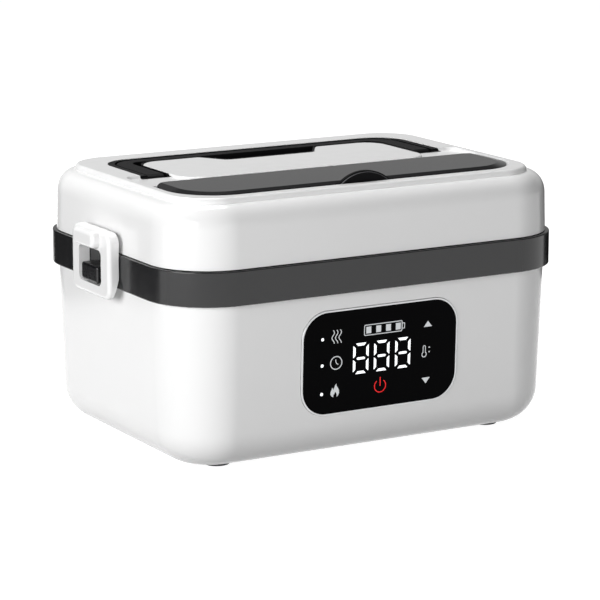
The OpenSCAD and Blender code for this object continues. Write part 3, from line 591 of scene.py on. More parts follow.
def present(piece: Piece, body: str, slot: str, finish: Finish | None, *nodes: str) -> Piece:
    """Declares a finished piece.

    Args:
        piece: the piece.
        body: the body that it moves with.
        slot: the record's slot; not used.
        finish: its finish, or None where it already wears one.
        *nodes: construction nodes that it stands for.

    Returns:
        The piece.
    """
    if finish:
        finish.wear(piece)
    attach(piece, body)
    if nodes:
        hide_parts(*nodes)
    LOG.info("%s rides %s, %d faces", piece.name, body, len(piece.data.polygons))
    return piece


# ---------- Base ----------


@dataclass
class LowerCasing:
    """White lower casing, dark belt, feet and the blocks that the latches turn on."""

    bottom_r: float = 19.5
    floor_z: float = 1.6
    floor_top: float = 6.0
    tongue_inset: float = 6.2
    tongue_top: float = 103.5
    plate: Outline = Outline(150.2, 92.2, 10.1, 10.1)
    plate_deep: float = 4.0
    hatch_inset: float = 9.1
    hatch_top: float = 8.0
    edge_r: float = 0.35
    belt_edge: float = 0.6
    foot_r: float = 7.0
    foot_h: float = 2.6
    foot_edge: float = 0.6
    foot_x: float = 83.0
    foot_y: float = 57.0
    flange_inset: float = 5.6
    opening_deep: float = 7.2
    socket: Outline = Outline(22.2, 14.2, 5.1, 5.1)
    socket_drop: float = BELT_LOW - 30
    block: Outline = Outline(18.6, 9.1, 1.4, 1.4)
    block_out: float = 7.0
    block_edge: float = 1.2
    block_z: float = 95.05

    def casing(self) -> Piece:
        """Drafted, hollow tub with a rolled bottom, open for the display, the socket and the plate."""
        roll_z = self.floor_z + self.bottom_r
        inset = SHELL_INSET + (BELT_LOW - roll_z) * math.tan(math.radians(SHELL_DRAFT))
        centre = inset + self.bottom_r
        inner_r = self.bottom_r - WALL
        floor_angle = math.degrees(math.asin((roll_z - self.floor_top) / inner_r))
        tongue = self.tongue_inset
        shell = swept("lower_casing", BELT,
                      [(SHELL_INSET, BELT_LOW), (tongue, BELT_LOW), (tongue, self.tongue_top)],
                      roll(centre, roll_z, self.bottom_r, self.bottom_r, 180, 270, 14))
        hollow = swept("hollow", BELT,
                       [(SHELL_INSET + WALL, BELT_LOW - 5), (tongue + WALL, BELT_LOW - 2),
                        (tongue + WALL, self.tongue_top + 2)],
                       roll(centre, roll_z, inner_r, inner_r, 180, 180 + floor_angle, 10))
        window = slab("window", Display.frame_outline.drawn_in(-0.1), -self.opening_deep, 2)
        settled(window, on_front(Display.drop))
        socket = settled(slab("socket", self.socket, -self.opening_deep, 2), on_rear(self.socket_drop))
        cut(shell, hollow, window, socket, slab("plate_seat", self.plate, 0, self.plate_deep),
            slab("hatch", self.plate.drawn_in(self.hatch_inset), 0, self.hatch_top))
        rounded(shell, self.edge_r, 2)
        return present(smoothed(shell), "base", "white_plastic", GLOSSY_WHITE, "outer_shell")

    def belt(self) -> Piece:
        """Ring round the rim, its edges eased, stepped inside for the tongue and the well's flange."""
        edge = self.belt_edge
        ring = swept("belt", BELT, [(0, BELT_LOW + edge), *round_top(edge, BELT_TOP, 4)],
                     roll(edge, BELT_LOW + edge, edge, edge, 180, 270, 4)[1:])
        tongue, tongue_top = self.tongue_inset, self.tongue_top
        flange_z = tongue_top + 0.7
        cut(ring, slab("lower_step", BELT.drawn_in(tongue - 0.2), BELT_LOW - 2, tongue_top),
            slab("tongue_seat", BELT.drawn_in(tongue + WALL + 0.2), tongue_top - 1, flange_z + 0.1),
            slab("flange_seat", BELT.drawn_in(self.flange_inset), flange_z, BELT_TOP + 2))
        return present(smoothed(ring), "base", "belt_plastic", BELT_GREY, "belt_ring")

    def feet(self) -> Piece:
        """Four rubber buttons with an eased lower edge."""
        foot = cylinder("feet", self.foot_r, self.foot_h, (0, 0, self.foot_h / 2), corners=48)
        eased(foot, lambda a, b: max(a.z, b.z) < 0.1, self.foot_edge, 3)
        places = [shifted(x * self.foot_x, y * self.foot_y) for x in (-1, 1) for y in (-1, 1)]
        return present(smoothed(repeated(foot, places)), "base", "rubber", MOULDED_RUBBER, "rubber_feet")

    def latch_block(self, side: Side) -> Piece:
        """Dark block on the belt that a latch turns on and closes over."""
        body = swept("latch_block", self.block, [(0, 0), *round_top(self.block_edge, self.block_out, 5)])
        settled(smoothed(body), on_end(side, BELT.width / 2, self.block_z))
        body.name = f"latch_block_{side.word}_dressed"
        return present(body, "base", "black_plastic", DEEP_BLACK, f"latch_block_{side.word}")


# The flame's double tongue, from its middle
FLAME = [(0.9, 3.7), (1.0, 2.4), (1.9, 1.2), (2.5, -0.2), (2.6, -1.6), (2.0, -2.9), (1.1, -3.5), (1.2, -2.3),
         (0.7, -1.2), (0.3, -0.8), (-0.2, -1.7), (-0.8, -2.5), (-0.9, -3.6), (-1.9, -3.0), (-2.6, -1.9),
         (-2.5, -0.6), (-1.9, 0.6), (-1.6, 1.6), (-1.0, 0.9), (-0.8, 0.2), (-0.5, 1.2), (0.1, 2.6)]


@dataclass
class Display:
    """Touch display on the front wall: border, smoked glass and the lit figures behind it."""

    frame_outline: ClassVar[Outline] = Outline(95.0, 56.0, 15.0, 15.0)
    drop: ClassVar[float] = 36.8
    border: float = 0.9
    border_r: float = 0.2
    border_deep: float = 3.8
    proud: float = 0.35
    glass_play: float = 0.08
    glass_deep: float = 1.8
    ground_edge: float = 0.15
    lit_z: float = 0.2
    lit_t: float = 0.04
    figures_x: tuple[float, ...] = (-11.95, 0.7, 13.65)
    figure_half: tuple[float, float] = (3.95, 7.5)
    figure_line: float = 1.45
    bar_lengths: tuple[float, float, float] = (5.9, 5.2, 6.3)  # at the ends, in the middle, up the sides
    icon_line: float = 0.5
    dots_x: float = -35.2
    icons_x: float = -26.8
    battery_y: float = 15.15

    def trim(self) -> Piece:
        """Thin raised border."""
        ring = swept("display_border", self.frame_outline,
                     [(0, -self.border_deep), *round_top(self.border_r, self.proud, 3)])
        cut(ring, slab("opening", self.frame_outline.drawn_in(self.border), -5, 2))
        settled(smoothed(ring), on_front(self.drop))
        return present(ring, "base", "bezel_plastic", TRIM_SILVER, "display_bezel")

    def glass(self) -> Piece:
        """Window with a ground edge."""
        outline, edge = self.frame_outline.drawn_in(self.border + self.glass_play), self.ground_edge
        pane = swept("display_window", outline,
                     [(0, -self.glass_deep), (0, self.lit_z - edge), (edge, self.lit_z)])
        settled(smoothed(pane, 20), on_front(self.drop))
        return present(pane, "base", "display_glass", SMOKED_GLASS, "display_glass")

    def plaque(self, outline: Outline) -> Piece:
        """Thin lit shape of an outline."""
        return slab("lit", outline, self.lit_z - 0.1, self.lit_z + self.lit_t)

    def frame_shape(self, outline: Outline, line: float) -> Piece:
        """Thin lit line round an outline."""
        ring = self.plaque(outline)
        return cut(ring, slab("inside", outline.drawn_in(line), -1, 2))

    def bar(self, length: float, width: float, middle: bool = False) -> Piece:
        """Segment of a figure, its inner corners cut off, or all four of them in the middle one."""
        return eased(self.plaque(Outline(length, width, 0, 0)),
                     lambda a, b: abs(a.z - b.z) > 0.05 and (middle or a.y < 0),
                     width * (0.46 if middle else 0.8), 1)

    def figure(self, centre: float) -> list[Piece]:
        """One eight of seven tapered bars, a little apart."""
        line, (half_w, half_h) = self.figure_line, self.figure_half
        ends_long, middle_long, sides_long = self.bar_lengths
        middle = shifted(centre, 0.5)
        ends = [middle @ shifted(0, half_h), middle @ shifted(0, -half_h) @ turned(180)]
        sides = [middle @ shifted(side * half_w, y) @ turned(-side * 90)
                 for side in (-1, 1) for y in (-half_h / 2, half_h / 2)]
        return [repeated(self.bar(ends_long, line), ends),
                repeated(self.bar(middle_long, line * 0.9, middle=True), [middle]),
                repeated(self.bar(sides_long, line), sides)]

    def ring(self, x: float, y: float, radius: float, line: float, gap: float = 0.0) -> Piece:
        """Thin lit circle, with a gap at its top where one is asked for."""
        only()
        bpy.ops.mesh.primitive_plane_add(size=1.0, location=(0, 0, 0))
        piece = bpy.context.object
        piece.scale = (line * MM, self.lit_t * 2 * MM, 1.0)
        piece.rotation_euler = (math.pi / 2, 0, 0)
        piece.location = ((x + radius) * MM, y * MM, self.lit_z * MM)
        keep_place()
        settled(piece, shifted(x, y) @ turned(90 - gap / 2) @ shifted(-x, -y))
        with editing(piece, whole=True):
            bpy.ops.mesh.spin(steps=48, angle=math.radians(360 - gap), center=(x * MM, y * MM, 0),
                              axis=(0, 0, 1))
            bpy.ops.mesh.select_all(action="SELECT")
            bpy.ops.mesh.remove_doubles(threshold=1e-6)
            bpy.ops.mesh.normals_make_consistent(inside=False)
        return piece

    def stroke(self, points: list[tuple[float, float]]) -> Piece:
        """Lit line through points, round as a wire and sunk half way into the glass."""
        only()
        bpy.ops.curve.primitive_nurbs_path_add(location=(0, 0, 0))
        wire = bpy.context.object
        spline = wire.data.splines[0]
        lay(spline, points)
        spline.use_endpoint_u = True
        wire.data.bevel_depth, wire.data.bevel_resolution = self.icon_line / 2 * MM, 2
        wire.data.use_fill_caps = True
        bpy.ops.object.convert(target="MESH")
        return settled(bpy.context.object, shifted(0, 0, self.lit_z) @ Matrix.Diagonal((1, 1, 0.12, 1)))

    def filled(self, points: list[tuple[float, float]]) -> Piece:
        """Lit field inside a closed line through points."""
        only()
        bpy.ops.curve.primitive_bezier_circle_add(location=(0, 0, 0))
        curve = bpy.context.object.data
        curve.splines.clear()
        spline = curve.splines.new("POLY")
        lay(spline, points)
        spline.use_cyclic_u = True
        curve.dimensions, curve.fill_mode, curve.extrude = "2D", "BOTH", self.lit_t * MM
        bpy.ops.object.convert(target="MESH")
        return settled(bpy.context.object, shifted(0, 0, self.lit_z))

    def arrow(self, x: float, y: float, width: float, height: float, down: bool = False) -> Piece:
        """Lit triangle over a middle, its point up or down."""
        radius = width / math.sqrt(3)
        squash = Matrix.Diagonal((1, height / (1.5 * radius), 1, 1))
        return settled(self.disc(0, 0, radius, 3, 180 if down else 0), shifted(x, y) @ squash)

    def disc(self, x: float, y: float, radius: float, corners: int = 24, turn: float = 0.0) -> Piece:
        """Lit dot, or a triangle where it has three corners."""
        return cylinder("disc", radius, self.lit_t * 2, (x, y, self.lit_z), (0, 0, math.radians(turn)),
                        corners)

    def figures(self) -> Piece:
        """Three figures and the three dots, in white light."""
        parts = [bar for centre in self.figures_x for bar in self.figure(centre)]
        parts += [self.disc(self.dots_x, y, 0.85) for y in (13.1, -0.9, -16.1)]
        return self.lit("lit_figures", LIT_WHITE, *parts)

    def heat(self) -> list[Piece]:
        """Three wavy lines side by side."""
        steps, sway, height, pitch, middle_y = 12, 0.8, 7.2, 2.1, 13.8
        wave = [(sway * math.sin(2.6 * math.pi * step / steps), height / 2 - height * step / steps)
                for step in range(steps + 1)]
        return [self.stroke([(self.icons_x + nth * pitch + x, middle_y + y) for x, y in wave])
                for nth in (-1, 0, 1)]

    def clock(self) -> list[Piece]:
        """Clock face with its two hands."""
        hands = [(-27.1, 1.6), (-27.1, 0.6), (-27.0, -0.4), (-26.2, -0.8), (-25.5, -1.2)]
        return [self.ring(self.icons_x, -0.2, 3.4, self.icon_line), self.stroke(hands)]

    def battery(self) -> list[Piece]:
        """Battery with its nub and four bars."""
        y = self.battery_y
        return [self.frame_shape(Outline(23.3, 5.9, 0.8, 0.8, y, 1.35), 0.45),
                self.frame_shape(Outline(1.8, 3.2, 0.3, 0.3, y, 13.65), 0.4),
                *(self.plaque(Outline(3.0, 3.6, 0.1, 0.1, y, -7.5 + step * 6.0)) for step in range(4))]

    def thermometer(self) -> list[Piece]:
        """Outlined thermometer with a small mark up and one down."""
        x, bulb_y = 27.0, -2.1
        outer = weld(self.disc(x, bulb_y, 1.6), self.plaque(Outline(1.9, 5.6, 0.95, 0.95, 0.1, x)))
        inner = weld(slab("stem", Outline(1.0, 4.7, 0.5, 0.5, bulb_y + 2.2, x), -1, 2),
                     cylinder("bulb", 1.1, 3, (x, bulb_y, 0), corners=20))
        marks = [self.arrow(30.1, 1.5, 1.2, 0.9), self.arrow(30.1, -0.9, 1.2, 0.9, down=True)]
        return [cut(outer, inner), *marks]

    def signs(self) -> Piece:
        """Heat, time, flame, battery, temperature and the two arrows, in a softer light."""
        flame = self.filled([(x - 27.3, y - 14.9) for x, y in FLAME])
        arrows = [self.arrow(28.85, 13.87, 5.1, 3.2), self.arrow(28.4, -15.87, 5.1, 3.2, down=True)]
        return self.lit("lit_signs", LIT_GREY, *self.heat(), *self.clock(), flame, *self.battery(), *arrows,
                        *self.thermometer())

    def power(self) -> Piece:
        """Red sign over the touch field that switches the box on."""
        ring = self.ring(0.2, -15.8, 3.4, self.icon_line, gap=76)
        stem = self.plaque(Outline(0.55, 4.9, 0.2, 0.2, -13.45, 0.2))
        return self.lit("lit_power_sign", LIT_RED, ring, stem)

    def lit(self, name: str, light: Finish, *parts: Piece) -> Piece:
        """Gathers lit shapes and sets them on the wall."""
        return present(settled(gathered(name, *parts), on_front(self.drop)), "base", "display_glass", light)


# ---------- Lid ----------


@dataclass
class Lid:
    """Lid casing with the sunk strip, the handle's well, the panel and the hinge's trough."""

    inset: float = 2.3
    shoulder_z: float = 127.7
    shoulder_inset: float = 2.84
    shoulder_reach: float = 9.95
    shoulder_h: float = 11.5
    groove: Outline = spanning(186.0, 4.0, 60.0, 0.0, 18.0)
    channel: Outline = spanning(177.6, 4.9, 58.5, 0.0, 16.5)
    panel: Outline = spanning(152.0, -12.0, 48.0, 13.0, 13.0)
    panel_top: float = 141.9
    notch_mouth: float = 36.9
    notch_foot: float = 27.1
    notch_deep: float = 15.5
    notch_foot_r: float = 2.2
    notch_mouth_r: float = 1.66
    notch_narrows: tuple[float, float] = (1.18, 0.55)  # at its mouth and foot, for each mm of growth
    panel_edge: float = 1.2
    opening: Outline = spanning(186.0, -62.0, -17.3, 3.0, 3.0)
    trough_front: float = -25.5
    trough_back: float = -17.3
    trough_w: float = 202.6
    trough_z: float = 136.1
    strip: Outline = spanning(203.6, -67.7, 7.0, 26.8, 4.0)
    liner_low: float = 130.2

    def panel_block(self, name: str, grown: float, low: float, high: float) -> Piece:
        """The panel grown by a distance, less its tapered finger notch.

        Args:
            name: the piece's name.
            grown: how far its outline is let out.
            low: height of its underside.
            high: height of its top.

        Returns:
            The block, its notch round at the foot and at the mouth.
        """
        panel = slab(name, self.panel.drawn_in(-grown), low, high)
        back = self.panel.mid_y + self.panel.depth / 2
        deep, past = back - self.notch_deep + grown, 6
        lean = (self.notch_mouth - self.notch_foot) / self.notch_deep
        mouth = self.notch_mouth + past * lean - self.notch_narrows[0] * grown
        foot = self.notch_foot - self.notch_narrows[1] * grown
        notch = slab("notch", spanning(2 * mouth, deep, back + past, 0, 0), low - 5, high + 5)
        with editing(notch, "VERT"):
            pick_verts(notch, lambda at: at.y < deep + 0.1)
            bpy.ops.transform.resize(value=(foot / mouth, 1, 1))
        cut(panel, eased(notch, lambda a, b: abs(a.z - b.z) > 1 and a.y < deep + 0.1, self.notch_foot_r, 6))
        return eased(panel, lambda a, b: abs(a.z - b.z) > 1 and abs(a.x) < 45 and a.y > back + grown - 0.01,
                     self.notch_mouth_r + self.notch_narrows[1] * grown, 5)

    def casing(self) -> Piece:
        """The white casing."""
        crease = self.shoulder_inset + self.shoulder_reach
        top = self.shoulder_z + self.shoulder_h
        shoulder = roll(crease, self.shoulder_z, self.shoulder_reach, self.shoulder_h, 180, 90, 12)
        rim = roll(crease + 2, top + 0.2, 2, RIM_Z - top - 0.2, 180, 90, 5)
        shell = swept("lid_casing", BELT, [(self.inset, LID_Z), *shoulder, (crease, top + 0.2), *rim[1:]])
        reach = self.shoulder_reach - 0.5
        hollow = swept("hollow", BELT, [
            (self.inset + WALL, LID_Z - 2),
            *roll(self.shoulder_inset + WALL + reach, PLATE_UNDER - 9, reach, 9, 180, 90, 8)])
        cut(shell, hollow, self.strip_pocket(), slab("groove", self.groove, CUT_LOW, CUT_HIGH))
        panel = self.panel_block("panel", 0.0, PLATE_UNDER + 0.2, self.panel_top)
        weld(shell, eased(panel, lambda a, b: min(a.z, b.z) > self.panel_top - 0.01, self.panel_edge, 4))
        end = self.trough_w / 2
        trough = block("trough", (-end - 2.2, self.trough_front, self.trough_z - 1.6),
                       (end + 2.2, self.trough_back + 1.6, PLATE_UNDER + 0.2))
        weld(shell, trough)
        cut(shell, slab("opening", self.opening, self.trough_z, CUT_HIGH),
            block("trough_end", (-end, self.trough_front + 1, self.trough_z),
                  (end, self.trough_back, CUT_HIGH)))
        rounded(shell, 0.3, 2, 50)
        weld(shell, *(self.lug(side) for side in Side))
        return present(smoothed(shell), "lid", "white_plastic", GLOSSY_WHITE, "lid_shell")

    def strip_pocket(self, lift: float = 0.0) -> Piece:
        """Cutter for the sunk strip that the cover lies in, with its flared lip."""
        rim, floor = RIM_Z + lift, STRIP_Z + lift
        return swept("strip", self.strip, [(-1.0, rim + 1), (-1.0, CUT_HIGH)],
                     [(-0.5, rim - 0.2), (0.0, floor + 0.5), (0.5, floor)])

    def lug(self, side: Side) -> Piece:
        """Rounded lug that carries the hinge rod."""
        foot = Outline(5.0, 2.6, 0, 0, ROD_Y, side.value * LUG_X)
        lug = slab("lug", foot, self.trough_z - 0.5, ROD_Z + 1.3)
        return eased(lug, lambda a, b: min(a.z, b.z) > ROD_Z + 1.2 and abs(a.x - b.x) > 1, 1.25, 6)

    def handle_well(self) -> Piece:
        """Black liner of the handle's well: a flat rim, and the channel that the handle lies in."""
        low, high = self.liner_low, RIM_Z - 0.2
        liner = cut(slab("handle_well_liner", self.groove.drawn_in(0.1), low, high),
                    self.panel_block("core", 0.1, low - 2, high + 2), self.strip_pocket(0.2))
        channel = cut(slab("channel", self.channel, low + 1.0, high + 4),
                      self.panel_block("core", 0.9, low - 2, high + 8))
        smoothed(rounded(cut(liner, channel), 0.2, 2, 50))
        return present(liner, "lid", "black_plastic", HANDLE_BLACK, "handle_well")


@dataclass
class Handle:
    """Carry handle that lies round the panel and folds up on two pins."""

    out: float = 88.0
    back: float = 57.7
    arm: float = 10.0
    bar: float = 7.4
    pin_y: float = 10.9
    low: float = 132.5
    top: float = 141.8
    edge: float = 1.6
    corner_r: float = 16.0
    inner_r: float = 6.0

    def build(self) -> Piece:
        """U-shaped handle, round at its ends and eased along its edges."""
        half = (self.top - self.low) / 2
        front = self.pin_y - half
        full = spanning(2 * self.out, front, self.back, 0, self.corner_r)
        piece = slab("carry_handle_dressed", full, self.low, self.top)
        inside = spanning(2 * (self.out - self.arm), front - 20, self.back - self.bar, 0, self.inner_r)
        cut(piece, slab("inside", inside, CUT_LOW, CUT_HIGH))
        eased(piece, lambda a, b: max(a.y, b.y) < front + 0.01 and abs(a.x - b.x) > 1, half - 0.02, 10)
        rounded(piece, self.edge, 4, 45)
        return present(smoothed(piece), "handle", "handle_plastic", HANDLE_BLACK, "carry_handle")


@dataclass
class Cover:
    """Flip cover of the cutlery compartment with its upright pull tab."""

    width: float = 202.0
    front: float = -67.0
    back: float = -20.0
    under: float = 140.9
    top: float = 143.0
    bevel_w: float = 5.5
    bevel_drop: float = 1.1
    shoulder_r: float = 0.5
    edge_r: float = 0.25
    corner_r: float = 26.0
    back_r: float = 10.5
    barrel_r: float = 1.9
    barrel_end: float = 8.0
    tab_w: float = 33.0
    tab_h: float = 6.99
    tab_t: float = 2.2
    tab_rim: float = 0.7
    tab_face: float = 0.35

    def flap(self) -> Piece:
        """Plate with a broad bevel on three sides and its hinge barrel below the back edge."""
        reach = self.back - self.front
        full = Outline(self.width, 2 * reach, self.corner_r, self.corner_r, self.back)
        r = self.shoulder_r
        shoulder = roll(r, self.top - self.bevel_drop - r, r, r, 180, 108, 10)
        flap = swept("cutlery_cover_dressed", full,
                     [(0, self.under + 0.3), *shoulder, (self.bevel_w, self.top)], [(0.4, self.under)])
        plan = spanning(self.width + 0.02, 2 * self.front, self.back, 0, self.back_r)
        join(flap, slab("plan", plan, CUT_LOW, CUT_HIGH), Join.SHARE)
        seat = spanning(self.tab_w + 0.2, self.front - 2, self.front + self.tab_t + 0.1, 0, 0)
        cut(flap, slab("tab_seat", seat, CUT_LOW, CUT_HIGH))
        rounded(flap, self.edge_r, 3, 50)
        half = self.width / 2 - self.barrel_end
        r = self.barrel_r
        barrel = cylinder("barrel", r, 2 * half, (0, ROD_Y, ROD_Z), (0, math.pi / 2, 0))
        weld(barrel, block("web", (-half, ROD_Y - r, ROD_Z), (half, ROD_Y + r, self.under + 0.2)))
        for side in Side:
            gap = Outline(5.6, 6.0, 0, 0, ROD_Y, side.value * LUG_X)
            cut(barrel, slab("lug_gap", gap, CUT_LOW, self.under))
        weld(flap, barrel)
        return present(smoothed(flap, 8), "cover", "cover_plastic", COVER_GREY, "cutlery_cover")

    def pull_tab(self) -> Piece:
        """Upright half disc at the cover's front edge, its face raised inside a thin rim."""
        foot = self.under + 0.1
        radius = (self.tab_w ** 2 / 4 + self.tab_h ** 2) / (2 * self.tab_h)
        thick = self.tab_t - self.tab_face
        middle = (0, self.front + self.tab_face + thick / 2, foot + self.tab_h - radius)
        tab = cylinder("pull_tab", radius, thick, middle, (math.pi / 2, 0, 0), corners=160)
        cut(tab, block("below", (-60, -80, 60), (60, -50, foot)))
        with editing(tab):
            pick(tab, "faces", lambda face: face.normal.y < -0.99)
            bpy.ops.mesh.inset(thickness=self.tab_rim * MM, depth=0.0)
            bpy.ops.mesh.inset(thickness=self.tab_face * MM, depth=self.tab_face * MM)
        smoothed(rounded(tab, self.edge_r, 2, 60))
        present(tab, "cover", "black_plastic", HANDLE_BLACK, "cover_pull_tab")
        # The bead's chamfer faces get the lighter grey, a painted highlight
        tab.data.materials.append(BEAD_PAINTED_HIGHLIGHT.make())
        for face in tab.data.polygons:
            near_front = face.center.y < (self.front + self.tab_face) * MM
            if near_front and -0.95 < face.normal.y < -0.4:
                face.material_index = 1
        return tab


@dataclass
class Latch:
    """White rocker clip that holds the lid: a frame round the dark block, with a finger lip on top."""

    side: Side
    height: float = 35.0
    width: float = 44.0
    thick: float = 6.2
    corner_r: float = 5.5
    pillow: float = 2.2
    mid_z: float = 101.0
    out: float = 120.3
    window: Outline = Outline(26.0, 18.9, 3.0, 3.0)
    window_z: float = 99.05
    lip: Outline = Outline(24.0, 9.0, 3.4, 3.4)
    lip_z: float = 114.0
    lip_out: float = 10.8
    lip_r: float = 2.4
    edge_r: float = 0.5
    swing: float = 16.0
    pivot_z: float = 95.5
    gap: float = 0.3

    def heel(self) -> Piece:
        """Wedge cut from the back of the foot, so that the foot can swing in under the belt."""
        side = self.side.value
        near, far = sorted((side * self.gap, -side * self.height))
        wedge = block("heel", (near, -self.width, -2 * self.height), (far, self.width, 0))
        pivot = shifted(side * (self.out - self.gap), 0, self.pivot_z)
        return settled(wedge, pivot @ turned(-side * self.swing, "Y"))

    def build(self) -> Piece:
        """The frame, drawn flat and then set against the wall."""
        body = swept("latch", Outline(self.width, self.height, self.corner_r, self.corner_r),
                     [(0, 0.4), *round_top(self.pillow, self.thick, 7)], [(0.4, 0)])
        lip = swept("lip", self.lip, [(0, 0.2), *round_top(self.lip_r, self.lip_out, 7)])
        weld(body, settled(lip, shifted(0, self.lip_z - self.mid_z)))
        cut(body, settled(slab("hole", self.window, -2, 20), shifted(0, self.window_z - self.mid_z)))
        with editing(body, "EDGE"):
            bpy.ops.mesh.edges_select_sharp(sharpness=math.radians(50))
            bpy.ops.mesh.bevel(offset=self.edge_r * MM, segments=3, affect="EDGES", clamp_overlap=True)
        settled(body, on_end(self.side, self.out, self.mid_z))
        cut(body, self.heel())
        word = self.side.word
        body.name = f"latch_{word}_dressed"
        return present(smoothed(body), f"{word}_latch", "white_plastic", GLOSSY_WHITE, f"latch_{word}")


# ---------- Pieces that keep their construction shape ----------


# The finish of each slot
SLOT_FINISH = {
    "white_plastic": GLOSSY_WHITE, "black_plastic": DEEP_BLACK, "steel": BRIGHT_STEEL,
    "brushed_steel": BRUSHED_STEEL, "aluminium": CAST_ALUMINIUM, "brass": SPRING_BRASS,
    "circuit_board": SOLDER_MASK, "ceramic": STEATITE, "felt": NEEDLE_FELT, "cell_wrap": SHRINK_WRAP,
    "tray_lid_plastic": TRAY_LID_CLEAR, "silicone": CLEAR_SILICONE, "grey_silicone": GREY_SILICONE,
}
# The nodes of each body that keep their shape, with their slots
KEPT_NODES = {
    "base": {
        "base_plate": "white_plastic", "base_screws": "steel", "display_board": "circuit_board",
        "inner_well": "brushed_steel", "heater_plate": "aluminium", "thermal_cutouts": "ceramic",
        "insulation_pad": "felt", "control_board": "circuit_board", "battery_cradle": "black_plastic",
        "battery_cells": "cell_wrap", "battery_clamp": "black_plastic", "charge_socket": "black_plastic",
        "socket_contact": "brass",
    },
    "left_latch": {"latch_pin_left": "steel"},
    "right_latch": {"latch_pin_right": "steel"},
    "container": {"food_tray": "brushed_steel"},
    "tray_cover": {"tray_lid": "tray_lid_plastic", "tray_seal": "silicone", "vent_plug": "grey_silicone"},
    "lid": {
        "lid_liner": "white_plastic", "lid_seal": "silicone", "lid_screws": "steel",
        "cutlery_tray": "black_plastic", "handle_pins": "steel", "cover_hinge_rod": "steel",
    },
}


def dress_inner_pieces() -> None:
    """Gives each kept node its finish, on a smoothed copy of its mesh."""
    for body, nodes in KEPT_NODES.items():
        for node, slot in nodes.items():
            present(copied(node, f"{node}_smooth"), body, slot, SLOT_FINISH[slot], node)


# ---------- Studio ----------


@dataclass(frozen=True)
class SoftBox:
    """Lamp that faces the lunch box, kept out of its reflections where asked for. Metres and watts."""

    name: str
    at: tuple[float, float, float]
    size: tuple[float, float]
    power: float
    mirrored: bool = True

    def build(self) -> None:
        """Hangs the lamp."""
        data = bpy.data.lights.new(self.name, "AREA")
        data.shape, data.size, data.size_y, data.energy = "RECTANGLE", *self.size, self.power
        lamp = bpy.data.objects.new(self.name, data)
        lamp.location, lamp.visible_glossy = self.at, self.mirrored
        lamp.rotation_euler = (Vector((0, 0, 0.07)) - Vector(self.at)).to_track_quat("-Z", "Y").to_euler()
        bpy.context.scene.collection.objects.link(lamp)


@dataclass(frozen=True)
class Flag:
    """Black card on the floor that only reflections see, square to the box's middle. Metres."""

    name: str
    at: tuple[float, float]
    width: float
    height: float

    def build(self) -> None:
        """Stands the card up."""
        only()
        bpy.ops.mesh.primitive_plane_add(
            size=1.0, location=(*self.at, self.height / 2),
            rotation=(math.pi / 2, 0, math.atan2(self.at[1], self.at[0]) - math.pi / 2))
        card = bpy.context.object
        card.name = self.name
        card.scale = (self.width, self.height, 1.0)
        keep_place()
        velvet = bpy.data.materials.new("black_velvet_card")
        tree = blank_tree(velvet)
        black = add_node(tree, "BsdfDiffuse", {"Color": linear("#050505")})
        add_node(tree, "OutputMaterial", {"Surface": black.outputs[0]})
        card.data.materials.append(velvet)
        card.visible_camera = card.visible_diffuse = card.visible_shadow = card.visible_transmission = False


RIG = [
    SoftBox("left_soft_box", (-1.55, -0.6, 0.5), (1.1, 0.7), 26.0),
    SoftBox("top_soft_box", (0.1, 0.75, 1.6), (1.0, 0.8), 26.5),
    SoftBox("front_soft_box", (0.1, -1.8, 0.3), (1.2, 0.6), 8.0, mirrored=False),
    Flag("left_rear_flag", (-0.27, 0.27), 0.5, 0.3),
    Flag("right_rear_flag", (0.38, 0.2), 0.5, 0.14),
]


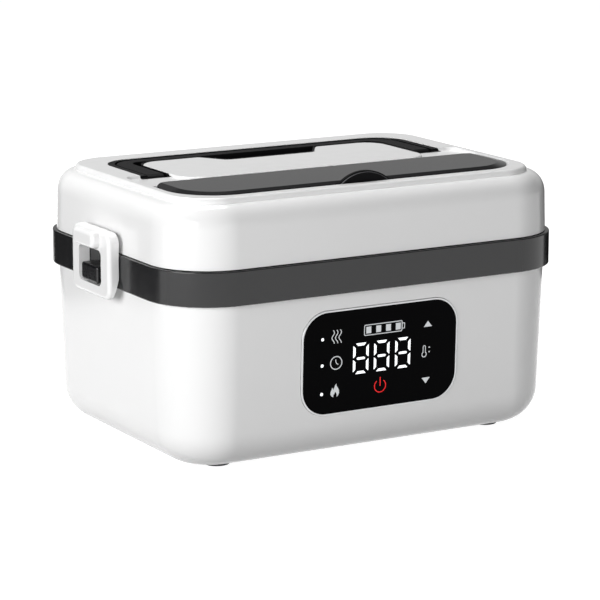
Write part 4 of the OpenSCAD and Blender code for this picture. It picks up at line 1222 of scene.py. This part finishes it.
@dataclass
class Studio:
    """White sweep, surroundings and the camera, in metres."""

    eye: tuple[float, float, float] = (-0.7304, -1.2645, 0.3826)
    right: tuple[float, float, float] = (0.866, -0.5, 0.0)
    up: tuple[float, float, float] = (0.1057, 0.1831, 0.9774)
    back: tuple[float, float, float] = (-0.4888, -0.8464, 0.2114)
    lens: float = 164.4
    floor_glow: float = 0.95
    floor_tones: tuple[str, str] = ("#989898", "#939393")
    band: tuple[float, float] = (0.24, 0.4)
    mirrored: tuple[float, float] = (0.38, 0.02)
    ambient: float = 0.05

    def camera(self) -> None:
        """Camera at the photograph's angle."""
        data = bpy.data.cameras.new("camera")
        data.lens, data.sensor_width = self.lens, 36.0
        camera = bpy.data.objects.new("camera", data)
        bpy.context.scene.collection.objects.link(camera)
        turn = Matrix((self.right, self.up, self.back)).transposed().to_4x4()
        camera.matrix_world = Matrix.Translation(self.eye) @ turn
        bpy.context.scene.camera = camera

    def floor(self) -> None:
        """Pale floor that keeps the object's shadow."""
        only()
        bpy.ops.mesh.primitive_plane_add(size=12.0, location=(0, 0, 0))
        plane = bpy.context.object
        plane.name = "studio_floor"
        paper = bpy.data.materials.new("matt_paper_sweep")
        tree = blank_tree(paper)
        seen = self.seen(tree, 1.0)
        fibres = add_node(tree, "TexNoise", {
            "Vector": add_node(tree, "TexCoord").outputs["Object"], "Scale": 300.0}).outputs["Fac"]
        pale, dark = (linear(tone) for tone in self.floor_tones)
        tone = add_node(tree, "Mix", {"Factor": fibres, 6: pale, 7: dark}, data_type="RGBA").outputs[2]
        matt = add_node(tree, "BsdfDiffuse", {"Color": tone})
        glow = add_node(tree, "Emission", {"Color": (1, 1, 1, 1), "Strength": self.floor_glow})
        lit = add_node(tree, "AddShader", {0: matt.outputs[0], 1: glow.outputs[0]})
        both = add_node(tree, "MixShader", {0: seen, 1: matt.outputs[0], 2: lit.outputs[0]})
        add_node(tree, "OutputMaterial", {"Surface": both.outputs[0]})
        plane.data.materials.append(paper)

    def seen(self, tree: bpy.types.NodeTree, mirrored: float | bpy.types.NodeSocket) -> bpy.types.NodeSocket:
        """One for rays that see the background, a share for those that mirror it, nought for the rest."""
        path = add_node(tree, "LightPath")
        either = add_node(tree, "Math", {
            0: path.outputs["Is Glossy Ray"], 1: path.outputs["Is Transmission Ray"]}, operation="MAXIMUM")
        share = add_node(tree, "Math", {0: either.outputs[0], 1: mirrored}, operation="MULTIPLY")
        return add_node(tree, "Math", {
            0: path.outputs["Is Camera Ray"], 1: share.outputs[0]}, operation="MAXIMUM").outputs[0]

    def sky(self) -> None:
        """White surroundings with a gentle light, mirrored bright near the horizon and dark above."""
        world = bpy.context.scene.world or bpy.data.worlds.new("surroundings")
        bpy.context.scene.world = world
        tree = blank_tree(world)
        height = add_node(tree, "SeparateXYZ", {
            "Vector": add_node(tree, "TexCoord").outputs["Generated"]}).outputs["Z"]
        band = add_node(tree, "MapRange", {
            "Value": height, "From Min": self.band[0], "From Max": self.band[1], "To Min": self.mirrored[0],
            "To Max": self.mirrored[1]}, interpolation_type="SMOOTHSTEP").outputs["Result"]
        seen = self.seen(tree, band)
        strength = add_node(tree, "Math", {0: seen, 1: self.ambient}, operation="MAXIMUM").outputs[0]
        light = add_node(tree, "Background", {"Color": (1, 1, 1, 1), "Strength": strength})
        add_node(tree, "OutputWorld", {"Surface": light.outputs[0]})

    def build(self) -> None:
        """Sets the studio up."""
        self.camera()
        self.floor()
        self.sky()
        for thing in RIG:
            thing.build()
        bpy.context.scene.view_settings.view_transform = "Standard"


def corners(box: tuple[Vector, Vector]) -> list[list[float]]:
    """A box's two corners as plain numbers."""
    return [[float(value) for value in corner] for corner in box]


def main() -> None:
    """Builds the studio and every piece, in order from the ground up."""
    logging.basicConfig(level=logging.INFO, format="%(message)s")
    Studio().build()
    base = LowerCasing()
    base.casing()
    base.belt()
    base.feet()
    display = Display()
    display.trim()
    display.glass()
    display.figures()
    display.signs()
    display.power()
    lid = Lid()
    lid.casing()
    lid.handle_well()
    Handle().build()
    cover = Cover()
    cover.flap()
    cover.pull_tab()
    for side in Side:
        base.latch_block(side)
        Latch(side).build()
    dress_inner_pieces()


if __name__ == "__main__":
    main()
